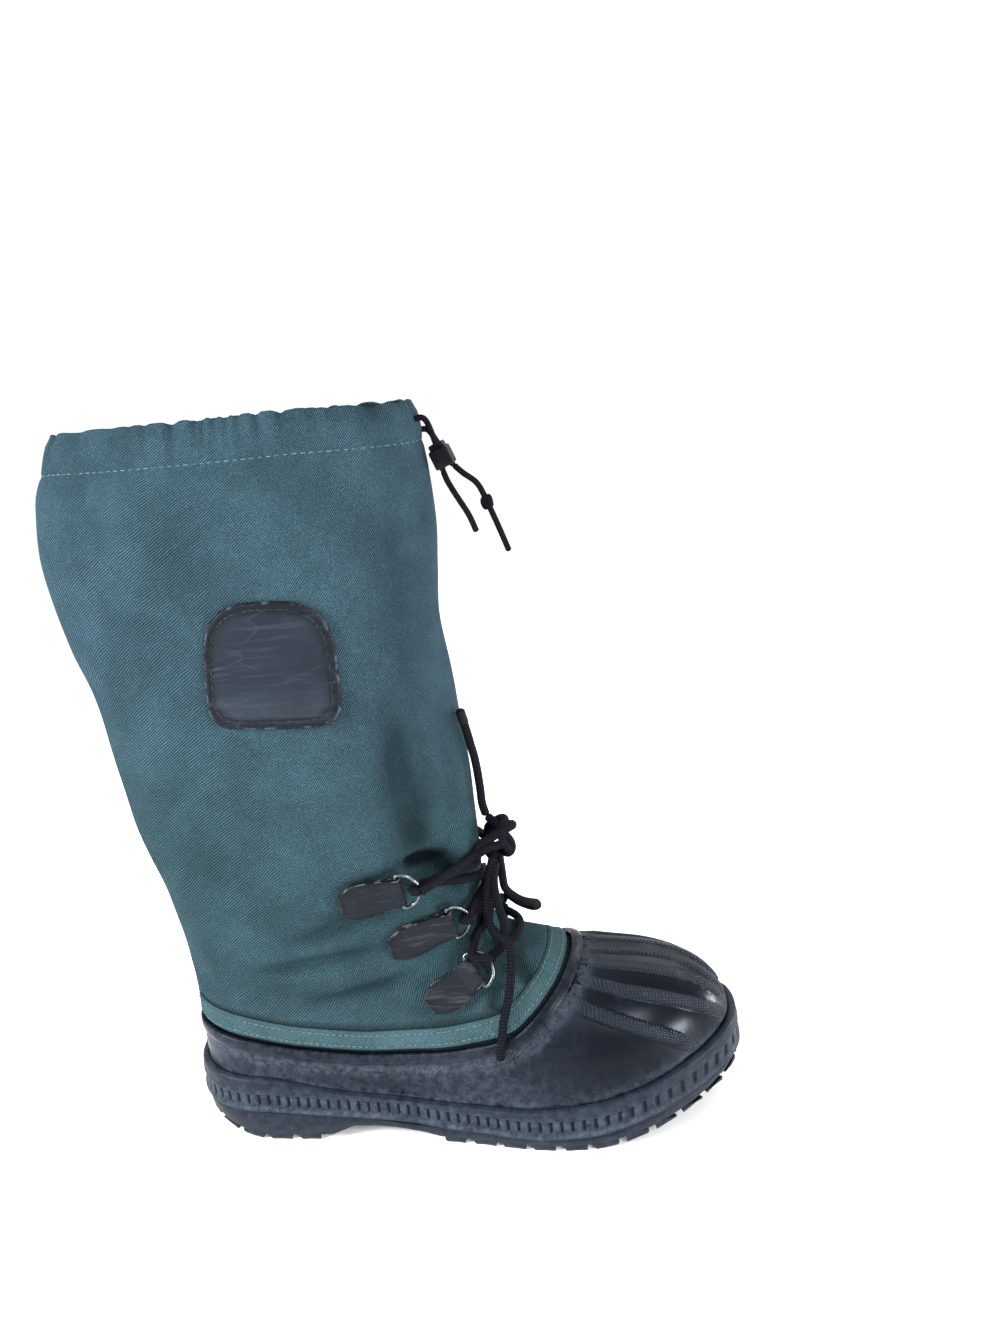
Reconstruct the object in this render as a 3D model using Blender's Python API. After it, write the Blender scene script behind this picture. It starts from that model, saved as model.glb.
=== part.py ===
"""Pac boot for the right foot: a rubber lower with a ribbed foxing and a lugged sole, under a tall
fabric shaft with lace rings at the instep and a drawcord in its top hem.

Metres, +Z up, +X towards the toe, +Y towards the inner (medial) side of the foot.
The boot's outside is one field, negative inside: a foot form and a leg form, blended where they
meet. The rubber, the fabric, the tape and the sole are all cut from rings of that field."""

import math

import bmesh
import bpy
import numpy as np
from mathutils import Matrix, Vector

# Overall sizes
LENGTH = 0.304
HEEL_OVERHANG = 0.0035
TOE_OVERHANG = 0.0045
LAST_WIDTH = 0.107
INSTEP_HEIGHT = 0.118
BOOT_HEIGHT = 0.386
SHAFT_DEPTH = 0.207
SHAFT_WIDTH = 0.098
TOE_TURN = 0.004
INSTEP_BLEND = 0.026
HEEL_BLEND = 0.008

# Sole heights
HEEL_RISE = 0.0185
FOXING_HEIGHT = 0.0190
FOXING_OVERHANG = 0.0045
TREAD_INSET = 0.0012
LUG_PITCH = 0.0165
LUG_GAP = 0.0042
LUG_DEPTH = 0.0150
TOE_SPRING = 0.0200
HEEL_SPRING = 0.0110

# Ribs of the foxing
RIB_PITCH = 0.0056
RIB_PITCH_TOE = 0.0078
RIB_GROOVE = 0.0012
RIB_LOW = 0.0052
RIB_TALL = 0.0070

# Walls and clearances
SHELL_WALL = 0.0026
SHAFT_WALL = 0.0026
RIM_BEAD = 0.0011
RIM_BEAD_WIDTH = 0.0085
TUCK = 0.0080
TUCK_GAP = 0.0009
TAPE_WIDTH = 0.0110
TAPE_RISE = 0.0025
TAPE_THICKNESS = 0.0009
INSOLE_THICKNESS = 0.0045
HEM_WIDTH = 0.0175
HEM_PROUD = 0.0010
GAP = 0.0003

TAPE_INSET = 0.0016

# Toe ridges
RIDGE_WIDTH = 0.0062
RIDGE_HEIGHT = 0.0013
RIDGE_SUNK = 0.0014
RIDGE_START = 0.744

# Patch on the outer side
PATCH_WIDTH = 0.0640
PATCH_HEIGHT = 0.0630
PATCH_X = 0.0915
PATCH_Z = 0.2735
PATCH_TILT = -0.06
PATCH_THICKNESS = 0.0018

# Lace rings and their tabs
LEATHER = 0.0014
TAB_HALF = 0.0100
WIRE = 0.0010
RING_HALF = 0.0098
RING_REACH = 0.0105
RING_TILT = 0.22
TAB_LIFT = 0.0014
TAB_FREE = 0.0070
TAB_REACH = (-0.007, -0.0035, 0.0, 0.003)

# Laces and drawcord
LACE = 0.0046
LACE_CLEAR = 0.0014
BAR_DROP = -0.0035
CROSS_SHORT = 0.0105
CORD = 0.0030
KNOT_Y = -0.002
KNOT_Z = 0.158
KNOT_TALL = 0.0160
KNOT_SHARE = 0.42
LOCK_X = 0.1795
LOCK_Z = 0.3600
COLLAR_HOLES = ((0.1745, -0.005, 0.3790), (0.1735, 0.006, 0.3730))
CORD_KNOT_AT = 0.47
LOCK_SIZE = (0.0095, 0.0125, 0.0120)
LOCK_TILT = -0.35

# Tread
BAR_WIDTH = 0.0085
BAR_PITCH = 0.080
HEEL_FRONT = 0.285
FOREFOOT_BACK = 0.455
TOE_LIFT_START = 0.74
HEEL_LIFT_END = 0.15

COLUMNS = 56
ROOT = None
FREE_CORDS = ("lace_knot", "lace_loop", "lace_end", "drawcord", "cord_lock")


class Table:
    """Rows of shares with named columns; the first column is what the others follow."""

    def __init__(self, columns, *rows):
        self.columns = columns.split()
        self.values = np.array(rows, float)

    def at(self, name, share):
        xs = self.values[:, 0]
        ys = self.values[:, self.columns.index(name)]
        share = np.clip(np.asarray(share, float), xs[0], xs[-1])
        step = np.diff(xs)
        slope = np.diff(ys) / step
        tangent = np.zeros_like(ys)
        tangent[0] = slope[0]
        tangent[-1] = slope[-1]
        same_way = slope[:-1] * slope[1:] > 0
        both = np.where(same_way, slope[:-1] + slope[1:], 1.0)
        tangent[1:-1] = np.where(same_way, 2 * slope[:-1] * slope[1:] / both, 0.0)
        i = np.clip(np.searchsorted(xs, share, side="right") - 1, 0, len(xs) - 2)
        t = (share - xs[i]) / step[i]
        rise = ys[i] * (1 + 2 * t) * (1 - t) ** 2 + ys[i + 1] * t ** 2 * (3 - 2 * t)
        return rise + step[i] * (tangent[i] * t * (1 - t) ** 2 - tangent[i + 1] * t ** 2 * (1 - t))


# Plan of the foot form: half widths as shares of the last's width
PLAN = Table(
    "along lateral medial",
    (0.00, 0.340, 0.340),
    (0.13, 0.355, 0.350),
    (0.28, 0.365, 0.350),
    (0.40, 0.385, 0.345),
    (0.53, 0.435, 0.380),
    (0.66, 0.500, 0.450),
    (0.74, 0.512, 0.485),
    (0.82, 0.505, 0.490),
    (0.90, 0.480, 0.485),
    (1.00, 0.430, 0.470),
)
# Top of the foot form, as shares of the instep height
CREST = Table(
    "along height",
    (0.00, 0.80),
    (0.20, 0.92),
    (0.40, 0.96),
    (0.50, 0.94),
    (0.60, 0.86),
    (0.68, 0.79),
    (0.73, 0.745),
    (0.79, 0.715),
    (0.85, 0.690),
    (0.90, 0.655),
    (0.94, 0.605),
    (0.97, 0.540),
    (0.99, 0.460),
    (1.00, 0.360),
)
# Leg form: back and front as shares of the shaft's depth, half width as a share of its width
LEG = Table(
    "height back front half",
    (0.00, 0.040, 0.700, 0.350),
    (0.15, 0.020, 0.760, 0.385),
    (0.27, 0.012, 0.815, 0.435),
    (0.36, -0.006, 0.835, 0.475),
    (0.43, -0.038, 0.838, 0.495),
    (0.49, -0.062, 0.838, 0.500),
    (0.58, -0.077, 0.832, 0.500),
    (0.67, -0.099, 0.819, 0.490),
    (0.73, -0.129, 0.811, 0.482),
    (0.79, -0.150, 0.820, 0.475),
    (0.855, -0.164, 0.831, 0.460),
    (0.92, -0.147, 0.830, 0.435),
    (0.97, -0.102, 0.822, 0.410),
    (1.00, -0.077, 0.812, 0.395),
)
# Seam between outsole and foxing, and the foxing's height above it
SEAM = Table(
    "along height foxing",
    (0.00, 1.06, 1.10),
    (0.13, 1.00, 1.08),
    (0.30, 0.78, 0.78),
    (0.40, 0.66, 0.73),
    (0.50, 0.46, 0.80),
    (0.64, 0.39, 0.88),
    (0.74, 0.46, 0.95),
    (0.85, 0.80, 0.92),
    (0.92, 1.10, 0.96),
    (1.00, 1.45, 1.05),
)
# Underside of the outsole between its lugs, as shares of the heel's rise, above the toe spring
PLATE = Table(
    "along height",
    (0.00, 0.23),
    (0.265, 0.23),
    (0.305, 0.52),
    (0.34, 0.53),
    (0.40, 0.44),
    (0.44, 0.34),
    (0.47, 0.235),
    (1.00, 0.235),
)
# Edge of the rubber along the side, as shares of the instep height
RIM = Table(
    "along height",
    (0.00, 0.545),
    (0.10, 0.515),
    (0.22, 0.465),
    (0.36, 0.432),
    (0.46, 0.440),
    (0.56, 0.485),
    (0.62, 0.535),
    (0.66, 0.610),
    (0.70, 0.700),
    (0.73, 0.760),
    (1.00, 0.800),
)
# Soft folds of the slack fabric: a line in the side view from one end to the other
FOLDS = Table(
    "row from_x from_z to_x to_z side depth width",
    (0, 0.545, 0.640, 0.520, 0.480, -1, 0.0060, 0.0200),
    (1, 0.520, 0.480, 0.500, 0.380, -1, 0.0065, 0.0110),
    (2, 0.060, 0.235, 0.330, 0.205, -1, 0.0028, 0.0080),
    (3, 0.330, 0.205, 0.520, 0.250, -1, 0.0024, 0.0080),
)

# Leather tabs of the lace rings, from the sewn back end to the fold that holds the ring, as
# shares of the length and of the instep height
TABS = Table(
    "row back_x back_z fold_x fold_z",
    (1, 0.352, 1.228, 0.446, 1.262),
    (2, 0.418, 0.978, 0.513, 1.040),
    (3, 0.474, 0.670, 0.552, 0.784),
)
# Width of a tab from its back end to its fold
TAB_PLAN = Table(
    "along half",
    (0.00, 0.54),
    (0.30, 1.00),
    (1.00, 0.76),
)
# Raised ridges of the toe: where they start and end across the foot, as shares of its half width
# there, and how far they run towards the toe
RIDGES = Table(
    "row start end reach",
    (0, -0.70, -0.93, 0.905),
    (1, -0.48, -0.74, 0.955),
    (2, -0.25, -0.36, 0.980),
    (3, -0.02, 0.02, 0.988),
    (4, 0.22, 0.38, 0.980),
    (5, 0.45, 0.74, 0.955),
    (6, 0.68, 0.93, 0.905),
)
# Routes of the free laces and cords, in metres: x and z in the side view, y across. What lies over
# another lace is raised by that many thicknesses
LACE_UP = Table(
    "row x y z raised",
    (0, 0.1795, 0.001, 0.1680, 0.55),
    (1, 0.1800, 0.003, 0.1830, -0.05),
    (2, 0.1810, 0.001, 0.2000, -0.1),
    (3, 0.1810, -0.002, 0.2110, 0.0),
    (4, 0.1790, -0.004, 0.2210, 0.0),
    (5, 0.1760, -0.006, 0.2310, 0.1),
)
LACE_DOWN = Table(
    "row x y z raised",
    (0, 0.1780, -0.009, 0.1475, 1.3),
    (1, 0.1730, -0.014, 0.1330, 1.7),
    (2, 0.1680, -0.016, 0.1190, 1.7),
    (3, 0.1720, -0.018, 0.1080, 1.6),
    (4, 0.1840, -0.022, 0.0960, 1.5),
    (5, 0.1860, -0.031, 0.0820, 0.6),
    (6, 0.1830, -0.041, 0.0700, 0.0),
    (7, 0.1800, -0.047, 0.0520, 0.0),
)
LACE_LOOP = Table(
    "row x y z raised",
    (0, 0.1780, 0.007, 0.1475, 1.3),
    (1, 0.1790, 0.010, 0.1320, 1.6),
    (2, 0.1820, 0.012, 0.1180, 1.6),
    (3, 0.1900, 0.015, 0.1040, 1.7),
    (4, 0.1950, 0.021, 0.0960, 1.7),
    (5, 0.1950, 0.030, 0.0900, 1.5),
    (6, 0.1880, 0.034, 0.0960, 1.7),
    (7, 0.1800, 0.030, 0.1080, 1.8),
)
CORD_END_SHORT = Table(
    "row x y z",
    (0, 0.1797, -0.003, 0.3528),
    (1, 0.1815, -0.004, 0.3475),
    (2, 0.1850, -0.005, 0.3405),
    (3, 0.1900, -0.005, 0.3305),
    (4, 0.1930, -0.005, 0.3215),
)
CORD_END_LONG = Table(
    "row x y z",
    (0, 0.1843, 0.003, 0.3544),
    (1, 0.1885, 0.003, 0.3500),
    (2, 0.1950, 0.003, 0.3440),
    (3, 0.1990, 0.003, 0.3340),
    (4, 0.2030, 0.003, 0.3220),
    (5, 0.2070, 0.003, 0.3090),
)

LAST_LENGTH = LENGTH - HEEL_OVERHANG - TOE_OVERHANG
HEEL_ROUND = 0.13
HEEL_SQUARENESS = 2.15
TOE_ROUND = 0.34
TOE_SQUARENESS = 2.4
FOOT_SQUARENESS = 2.5
LEG_SQUARENESS = 2.2


def along(x):
    """Share of the last's length at x."""
    return (np.asarray(x, float) - HEEL_OVERHANG) / LAST_LENGTH


def round_end(share, squareness):
    return np.maximum(1 - np.clip(share, 0, 1) ** squareness, 0) ** (1 / squareness)


def seam_height(x):
    return HEEL_RISE * SEAM.at("height", along(x))


def foxing_top(x):
    return seam_height(x) + FOXING_HEIGHT * SEAM.at("foxing", along(x))


def ground_clearance(x):
    """How far the tread lifts off the floor: the toe spring, and the heel's rolled back edge."""
    toe = np.clip((along(x) - TOE_LIFT_START) / (1 - TOE_LIFT_START), 0, 1.1) ** 1.6
    heel = np.clip(1 - along(x) / HEEL_LIFT_END, 0, 1.1) ** 1.7
    return TOE_SPRING * toe + HEEL_SPRING * heel


def plate_height(x):
    return HEEL_RISE * PLATE.at("height", along(x)) + ground_clearance(x)


def rim_height(x):
    return INSTEP_HEIGHT * RIM.at("height", along(x))


def foot_middle(x):
    return TOE_TURN * np.clip((along(x) - 0.6) / 0.4, 0, 1) ** 1.5


def foot_field(x, y, z):
    share = along(x)
    ends = round_end((HEEL_ROUND - share) / HEEL_ROUND, HEEL_SQUARENESS)
    ends = ends * round_end((share - 1 + TOE_ROUND) / TOE_ROUND, TOE_SQUARENESS)
    off = y - foot_middle(x)
    half = np.where(off < 0, PLAN.at("lateral", share), PLAN.at("medial", share))
    half = np.maximum(LAST_WIDTH * half * ends, 1e-5)
    floor = seam_height(x) + 0.25 * FOXING_HEIGHT
    tall = np.maximum(INSTEP_HEIGHT * CREST.at("height", share) - floor, 1e-4)
    up = np.maximum(z - floor, 0)
    ratio = (np.abs(off / half) ** FOOT_SQUARENESS + (up / tall) ** FOOT_SQUARENESS)
    ratio = np.maximum(ratio, 1e-12) ** (1 / FOOT_SQUARENESS)
    reach = np.hypot(off, up) + 1e-9
    field = reach - reach / ratio
    past = np.maximum(share - 1, -share) * LAST_LENGTH
    return np.where(past > 0, np.maximum(field, past + 1e-4), field)


def leg_field(x, y, z):
    height = z / BOOT_HEIGHT
    back = SHAFT_DEPTH * LEG.at("back", height)
    front = SHAFT_DEPTH * LEG.at("front", height)
    half = SHAFT_WIDTH * LEG.at("half", height)
    off = x - (back + front) / 2
    ratio = np.abs(off / ((front - back) / 2)) ** LEG_SQUARENESS + np.abs(y / half) ** LEG_SQUARENESS
    ratio = np.maximum(ratio, 1e-12) ** (1 / LEG_SQUARENESS)
    reach = np.hypot(off, y) + 1e-9
    return reach - reach / ratio


def fold_depth(x, y, z):
    depth = 0
    for row in FOLDS.values:
        fold = dict(zip(FOLDS.columns, row))
        ax = fold["from_x"] * LENGTH
        az = fold["from_z"] * BOOT_HEIGHT
        bx = fold["to_x"] * LENGTH - ax
        bz = fold["to_z"] * BOOT_HEIGHT - az
        t = np.clip(((x - ax) * bx + (z - az) * bz) / (bx * bx + bz * bz), 0, 1)
        away = np.hypot(x - ax - t * bx, z - az - t * bz) / fold["width"]
        side = np.clip(0.5 + fold["side"] * y / 0.02, 0, 1)
        depth = depth + fold["depth"] * np.exp(-away ** 2) * side
    return depth


def boot_field(x, y, z):
    """Distance outside the boot's own surface, negative inside."""
    return smooth_field(x, y, z) + fold_depth(x, y, z)


def smooth_field(x, y, z):
    """The same without the folds."""
    foot = foot_field(x, y, z)
    leg = leg_field(x, y, z)
    blend = HEEL_BLEND + (INSTEP_BLEND - HEEL_BLEND) * np.clip((along(x) - 0.3) / 0.3, 0, 1)
    near = np.maximum(blend - np.abs(foot - leg), 0) / blend
    return np.minimum(foot, leg) - near ** 2 * blend / 4


def field_normal(points, field=boot_field):
    step = 0.0006
    grad = []
    for axis in range(3):
        push = np.zeros(3)
        push[axis] = step
        ahead = field(*(points + push).T)
        behind = field(*(points - push).T)
        grad.append((ahead - behind) / (2 * step))
    grad = np.stack(grad, -1)
    return grad / np.linalg.norm(grad, axis=1, keepdims=True)


def settle(points, offset, field=boot_field):
    """Move points along the field's slope until they lie that far outside the surface."""
    for _ in range(6):
        normal = field_normal(points, field)
        step = 0.0006
        here = field(*points.T)
        slope = (field(*(points + normal * step).T) - here) / step
        points = points - normal * ((here - offset) / slope)[:, None]
    return points


def ring(line, columns=COLUMNS, offset=0.0):
    """The boot's outline where its surface meets the side-view line z = line(x), from the heel's
    middle round the lateral side to the toe and back along the medial side."""
    fine = 720
    angle = np.linspace(0, 2 * math.pi, fine, endpoint=False)
    middle = 0.45 * LENGTH if line(0.45 * LENGTH) < INSTEP_HEIGHT * 0.8 else 0.25 * LENGTH
    turn_x = -np.cos(angle) * LENGTH
    turn_y = -np.sin(angle) * SHAFT_WIDTH
    low = np.zeros(fine)
    high = np.ones(fine)
    for _ in range(40):
        mid = (low + high) / 2
        x = middle + mid * turn_x
        outside = boot_field(x, mid * turn_y, line(x)) > offset
        high = np.where(outside, mid, high)
        low = np.where(outside, low, mid)
    x = middle + low * turn_x
    points = np.stack([x, low * turn_y, line(x)], -1)
    return spread(points, columns)


def spread(points, columns):
    """The same closed line with its points evenly apart."""
    loop = np.vstack([points, points[:1]])
    run = np.concatenate([[0], np.cumsum(np.linalg.norm(np.diff(loop, axis=0), axis=1))])
    at = np.asarray(columns) * run[-1] if np.ndim(columns) else np.arange(columns) / columns * run[-1]
    return np.stack([np.interp(at, run, loop[:, i]) for i in range(3)], -1)


def at_height(points, height):
    """The same plan at another height: a number, or a function of x."""
    level = height(points[:, 0]) if callable(height) else np.full(len(points), height)
    return np.column_stack([points[:, :2], level])


def grow(points, distance):
    """Offset a closed line outward in plan."""
    ahead = np.roll(points, -1, axis=0)
    behind = np.roll(points, 1, axis=0)
    run = ahead - behind
    normal = np.stack([run[:, 1], -run[:, 0], np.zeros(len(points))], -1)
    normal = normal / np.linalg.norm(normal, axis=1, keepdims=True)
    return points + normal * np.reshape(distance, (-1, 1))


def lift(points, distance):
    """Move points off the surface along its own normal."""
    return points + field_normal(points) * distance


def walk(points, distance, offset=0.0):
    """Slide a ring over the surface, up the boot for a positive distance."""
    steps = max(1, round(abs(distance) / 0.004))
    for _ in range(steps):
        run = np.roll(points, -1, axis=0) - np.roll(points, 1, axis=0)
        normal = field_normal(points)
        up = np.cross(normal, run)
        up = up / np.linalg.norm(up, axis=1, keepdims=True)
        points = settle(points + up * distance / steps, offset)
    return points


def between(low_line, high_line, share):
    """A side-view line part of the way from one line to another."""
    return lambda x: low_line(x) * (1 - share) + high_line(x) * share


def collar_line(x):
    return BOOT_HEIGHT + 0.0 * np.asarray(x, float)


def seam_seat(x):
    return seam_height(x) + GAP


def material(name, colour, roughness, metallic=0.0):
    made = bpy.data.materials.new(name)
    made.use_nodes = True
    shader = made.node_tree.nodes["Principled BSDF"]
    shader.inputs["Base Color"].default_value = (*colour, 1)
    shader.inputs["Roughness"].default_value = roughness
    shader.inputs["Metallic"].default_value = metallic
    made.diffuse_color = (*colour, 1)
    return made


def add_object(name, vertices, faces, look, smooth=True):
    mesh = bpy.data.meshes.new(name)
    mesh.from_pydata([tuple(map(float, v)) for v in vertices], [], faces)
    mesh.validate()
    if smooth:
        mesh.shade_smooth()
        mesh.set_sharp_from_angle(angle=math.radians(35))
    mesh.materials.append(look)
    obj = bpy.data.objects.new(name, mesh)
    bpy.context.collection.objects.link(obj)
    obj.parent = ROOT
    return obj


def band_faces(ring_count, columns, closed=True):
    """Quads round a stack of rings; a closed stack returns to its first ring."""
    faces = []
    for j in range(ring_count if closed else ring_count - 1):
        k = (j + 1) % ring_count
        for i in range(columns):
            n = (i + 1) % columns
            faces.append((j * columns + i, j * columns + n, k * columns + n, k * columns + i))
    return faces


def add_tube(name, outer, inner, look):
    """A closed wall: rings up its outside, then down its inside. The inner faces are split along
    the same diagonals as an outer wall there, so nested walls keep their clearance."""
    rings = outer + inner
    columns = len(rings[0])
    faces = band_faces(len(rings), columns)
    turned = [face[1:] + face[:1] for face in faces[len(outer) * columns:]]
    return add_object(name, np.vstack(rings), faces[:len(outer) * columns] + turned, look)


def cap_faces(first, columns, up):
    """Cross strips over a ring whose points answer each other left and right."""
    faces = [(first, first + 1, first + columns - 1)]
    half = columns // 2
    for i in range(1, half - 1):
        faces.append((first + i, first + i + 1, first + columns - i - 1, first + columns - i))
    faces.append((first + half - 1, first + half, first + half + 1))
    return faces if up else [face[::-1] for face in faces]


def add_plate(name, rings, look):
    """A closed slab: rings from its underside to its top."""
    columns = len(rings[0])
    faces = band_faces(len(rings), columns, closed=False)
    faces += cap_faces(0, columns, up=False)
    faces += cap_faces((len(rings) - 1) * columns, columns, up=True)
    return add_object(name, np.vstack(rings), faces, look)


def zip_faces(low, low_at, high, high_at):
    """Triangles between two closed lines with their own shares of the way round."""
    faces = []
    i = 0
    j = 0
    while i < len(low) or j < len(high):
        next_low = low_at[i + 1] if i + 1 < len(low) else 1.0
        next_high = high_at[j + 1] if j + 1 < len(high) else 1.0
        a = low[i % len(low)]
        b = high[j % len(high)]
        if j >= len(high) or (i < len(low) and next_low <= next_high):
            faces.append((a, low[(i + 1) % len(low)], b))
            i += 1
        else:
            faces.append((a, high[(j + 1) % len(high)], b))
            j += 1
    return faces


def union(target, other):
    other.hide_render = True
    other.display_type = "WIRE"
    join = target.modifiers.new("join", "BOOLEAN")
    join.operation = "UNION"
    # EXACT drops the slab when this many blocks are joined to it at once
    join.solver = "MANIFOLD"
    join.object = other


def prism(outline, low, high, chamfer):
    """A block on a plan outline, its lower edge drawn in by a chamfer."""
    outline = np.asarray(outline, float)
    centre = outline.mean(axis=0)
    inward = centre - outline
    inward = inward / np.linalg.norm(inward, axis=1, keepdims=True)
    foot = outline + inward * chamfer
    count = len(outline)
    low = np.broadcast_to(low, count)
    vertices = [(*p, h) for p, h in zip(foot, low)]
    vertices += [(*p, h + chamfer * 1.6) for p, h in zip(outline, low)]
    vertices += [(*p, high) for p in outline]
    faces = [tuple(range(count))[::-1], tuple(range(2 * count, 3 * count))]
    faces += band_faces(3, count, closed=False)
    return vertices, faces


def lug_outlines():
    """Plans of the lugs: a row round the edge of heel and forefoot, and bars between."""
    edge = grow(ring(seam_seat, 720), FOXING_OVERHANG - TREAD_INSET)
    run = np.concatenate([[0], np.cumsum(np.linalg.norm(np.diff(edge[:, :2], axis=0), axis=1))])
    inner = grow(edge, -LUG_DEPTH)
    outlines = []
    count = round(run[-1] / LUG_PITCH)
    for i in range(count):
        start = (i + 0.5) * run[-1] / count - (LUG_PITCH - LUG_GAP) / 2
        at = start + np.array([0, 0.5, 1.0]) * (LUG_PITCH - LUG_GAP)
        pick = [int(np.argmin(np.abs(run - a))) for a in at]
        share = along(edge[pick, 0])
        on_heel = share.max() < HEEL_FRONT
        on_forefoot = share.min() > FOREFOOT_BACK
        if on_heel or on_forefoot:
            outer = [edge[k, :2] for k in pick]
            near = [inner[k, :2] * 0.5 + inner[pick[1], :2] * 0.5 for k in pick[::-1]]
            outlines.append(outer + near)
    for share in np.arange(FOREFOOT_BACK + 0.06, 0.90, BAR_PITCH):
        outlines += [bar_outline(share, side) for side in (-1, 1)]
    for share in np.arange(0.12, HEEL_FRONT - 0.02, BAR_PITCH):
        outlines.append(bar_outline(share, 0))
    return outlines


def bar_outline(share, side):
    x = HEEL_OVERHANG + share * LAST_LENGTH
    half = LAST_WIDTH * float(PLAN.at("medial", share)) - LUG_DEPTH * 1.3
    middle = float(foot_middle(x))
    slant = BAR_WIDTH * 0.7
    inner = middle + side * LUG_GAP / 2
    outer = middle + side * half * float(round_end((share - 0.66) / 0.5, 2.0))
    if side == 0:
        inner = middle - half * 0.5
        outer = middle + half * 0.5
        slant = 0
    corners = [(x, inner), (x + BAR_WIDTH, inner), (x + BAR_WIDTH - slant, outer), (x - slant, outer)]
    return corners if outer > inner else corners[::-1]


def build_outsole(look):
    base = ring(seam_seat)
    plan = at_height(base, seam_height)
    top = at_height(grow(plan, FOXING_OVERHANG - 0.0006), seam_height)
    side = at_height(grow(plan, FOXING_OVERHANG), lambda x: seam_height(x) * 0.7 + plate_height(x) * 0.3)
    low = at_height(grow(plan, FOXING_OVERHANG - TREAD_INSET * 0.5), plate_height)
    outsole = add_plate("outsole", [low, side, top], look)
    vertices = []
    faces = []
    for outline in lug_outlines():
        xs = np.array([p[0] for p in outline])
        block, sides = prism(outline, ground_clearance(xs), float(plate_height(xs).min()) + 0.0012, 0.0011)
        faces += [tuple(k + len(vertices) for k in face) for face in sides]
        vertices += block
    lugs = add_object("lug_guide", vertices, faces, look)
    union(outsole, lugs)
    return outsole


def build_foxing(look):
    base = ring(seam_seat)
    shares = np.arange(COLUMNS) / COLUMNS
    fine_base = ring(seam_seat, 720)
    rib_shares, rib_depths = rib_places(fine_base)

    def around(base_ring, above, offset):
        height = lambda x: seam_height(x) + above
        return at_height(grow(base_ring, offset), height)

    fine = spread(fine_base, rib_shares)
    rib_out = FOXING_OVERHANG - np.array(rib_depths)
    crown = RIB_LOW + RIB_TALL
    rings = [
        lift_plan(base, GAP),
        around(base, GAP, FOXING_OVERHANG - 0.0008),
        around(base, 0.0026, FOXING_OVERHANG + 0.0002),
        around(base, RIB_LOW - 0.0006, FOXING_OVERHANG),
        around(fine, RIB_LOW, rib_out),
        around(fine, crown, rib_out),
        around(base, crown + 0.0006, FOXING_OVERHANG - 0.0002),
    ]
    ledge = at_height(grow(base, FOXING_OVERHANG - 0.0012), lambda x: foxing_top(x) - 0.0008)
    inner_top = grow(ring(foxing_top), GAP)
    brow = inner_top * 0.25 + at_height(ledge, foxing_top) * 0.75
    rings += [ledge, brow, inner_top]
    starts = np.cumsum([0] + [len(r) for r in rings])
    faces = []
    for k in range(len(rings)):
        n = (k + 1) % len(rings)
        low = list(range(starts[k], starts[k] + len(rings[k])))
        high = list(range(starts[n], starts[n] + len(rings[n])))
        if len(low) == len(high):
            count = len(low)
            faces += [(low[i], low[(i + 1) % count], high[(i + 1) % count], high[i]) for i in range(count)]
        else:
            low_at = rib_shares if len(low) == len(fine) else shares
            high_at = rib_shares if len(high) == len(fine) else shares
            faces += zip_faces(low, low_at, high, high_at)
    return add_object("foxing", np.vstack(rings), faces, look)


def lift_plan(points, distance):
    return grow(points, distance)


def rib_places(line):
    """Shares of the way round for the ribs' corners, each with its depth: two on the crest of a
    rib, then one in the groove. Ribs are wider towards the toe."""
    loop = np.vstack([line, line[:1]])
    run = np.concatenate([[0], np.cumsum(np.linalg.norm(np.diff(loop, axis=0), axis=1))])
    shares = []
    depths = []
    at = 0.0
    total = run[-1]
    while at < total - RIB_PITCH * 0.7:
        x = np.interp(at, run, loop[:, 0])
        toe = float(np.clip((along(x) - 0.70) / 0.2, 0, 1))
        pitch = RIB_PITCH + (RIB_PITCH_TOE - RIB_PITCH) * toe
        for part, depth in ((0.0, 0.0), (0.62, 0.0), (0.81, RIB_GROOVE)):
            shares.append((at + pitch * part) / total)
            depths.append(depth)
        at += pitch
    return [s / max(1.0, at / total) for s in shares], depths


SHELL_STEPS = (0.22, 0.42, 0.58, 0.70, 0.79, 0.86, 0.915, 0.96)


def shell_rings():
    """Outer rings of the rubber lower, from the sole to its rim."""
    rings = [ring(seam_seat), ring(foxing_top)]
    rings += [ring(between(foxing_top, rim_height, step)) for step in SHELL_STEPS]
    return rings + [ring(rim_height)]


def build_shell(look):
    outer = shell_rings()
    rim = outer[-1]
    bead = [lift(walk(rim, -RIM_BEAD_WIDTH), 0.0), lift(walk(rim, -RIM_BEAD_WIDTH * 0.75), RIM_BEAD)]
    bead.append(lift(walk(rim, -0.0012), RIM_BEAD))
    outer = outer[:-2] + bead + [lift(rim, RIM_BEAD * 0.3)]
    tuck = walk(rim, -TUCK)
    low = [ring(between(foxing_top, rim_height, step)) for step in (0.68, 0.45)]
    seats = [rim, tuck, settle(tuck * 0.6 + low[0] * 0.4, 0.0), *low, ring(foxing_top), ring(seam_seat)]
    inner = [lift(line, -SHELL_WALL) for line in seats]
    inner[-1] = at_height(inner[-1], seam_seat)
    return add_tube("shell", outer, inner, look)


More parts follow.
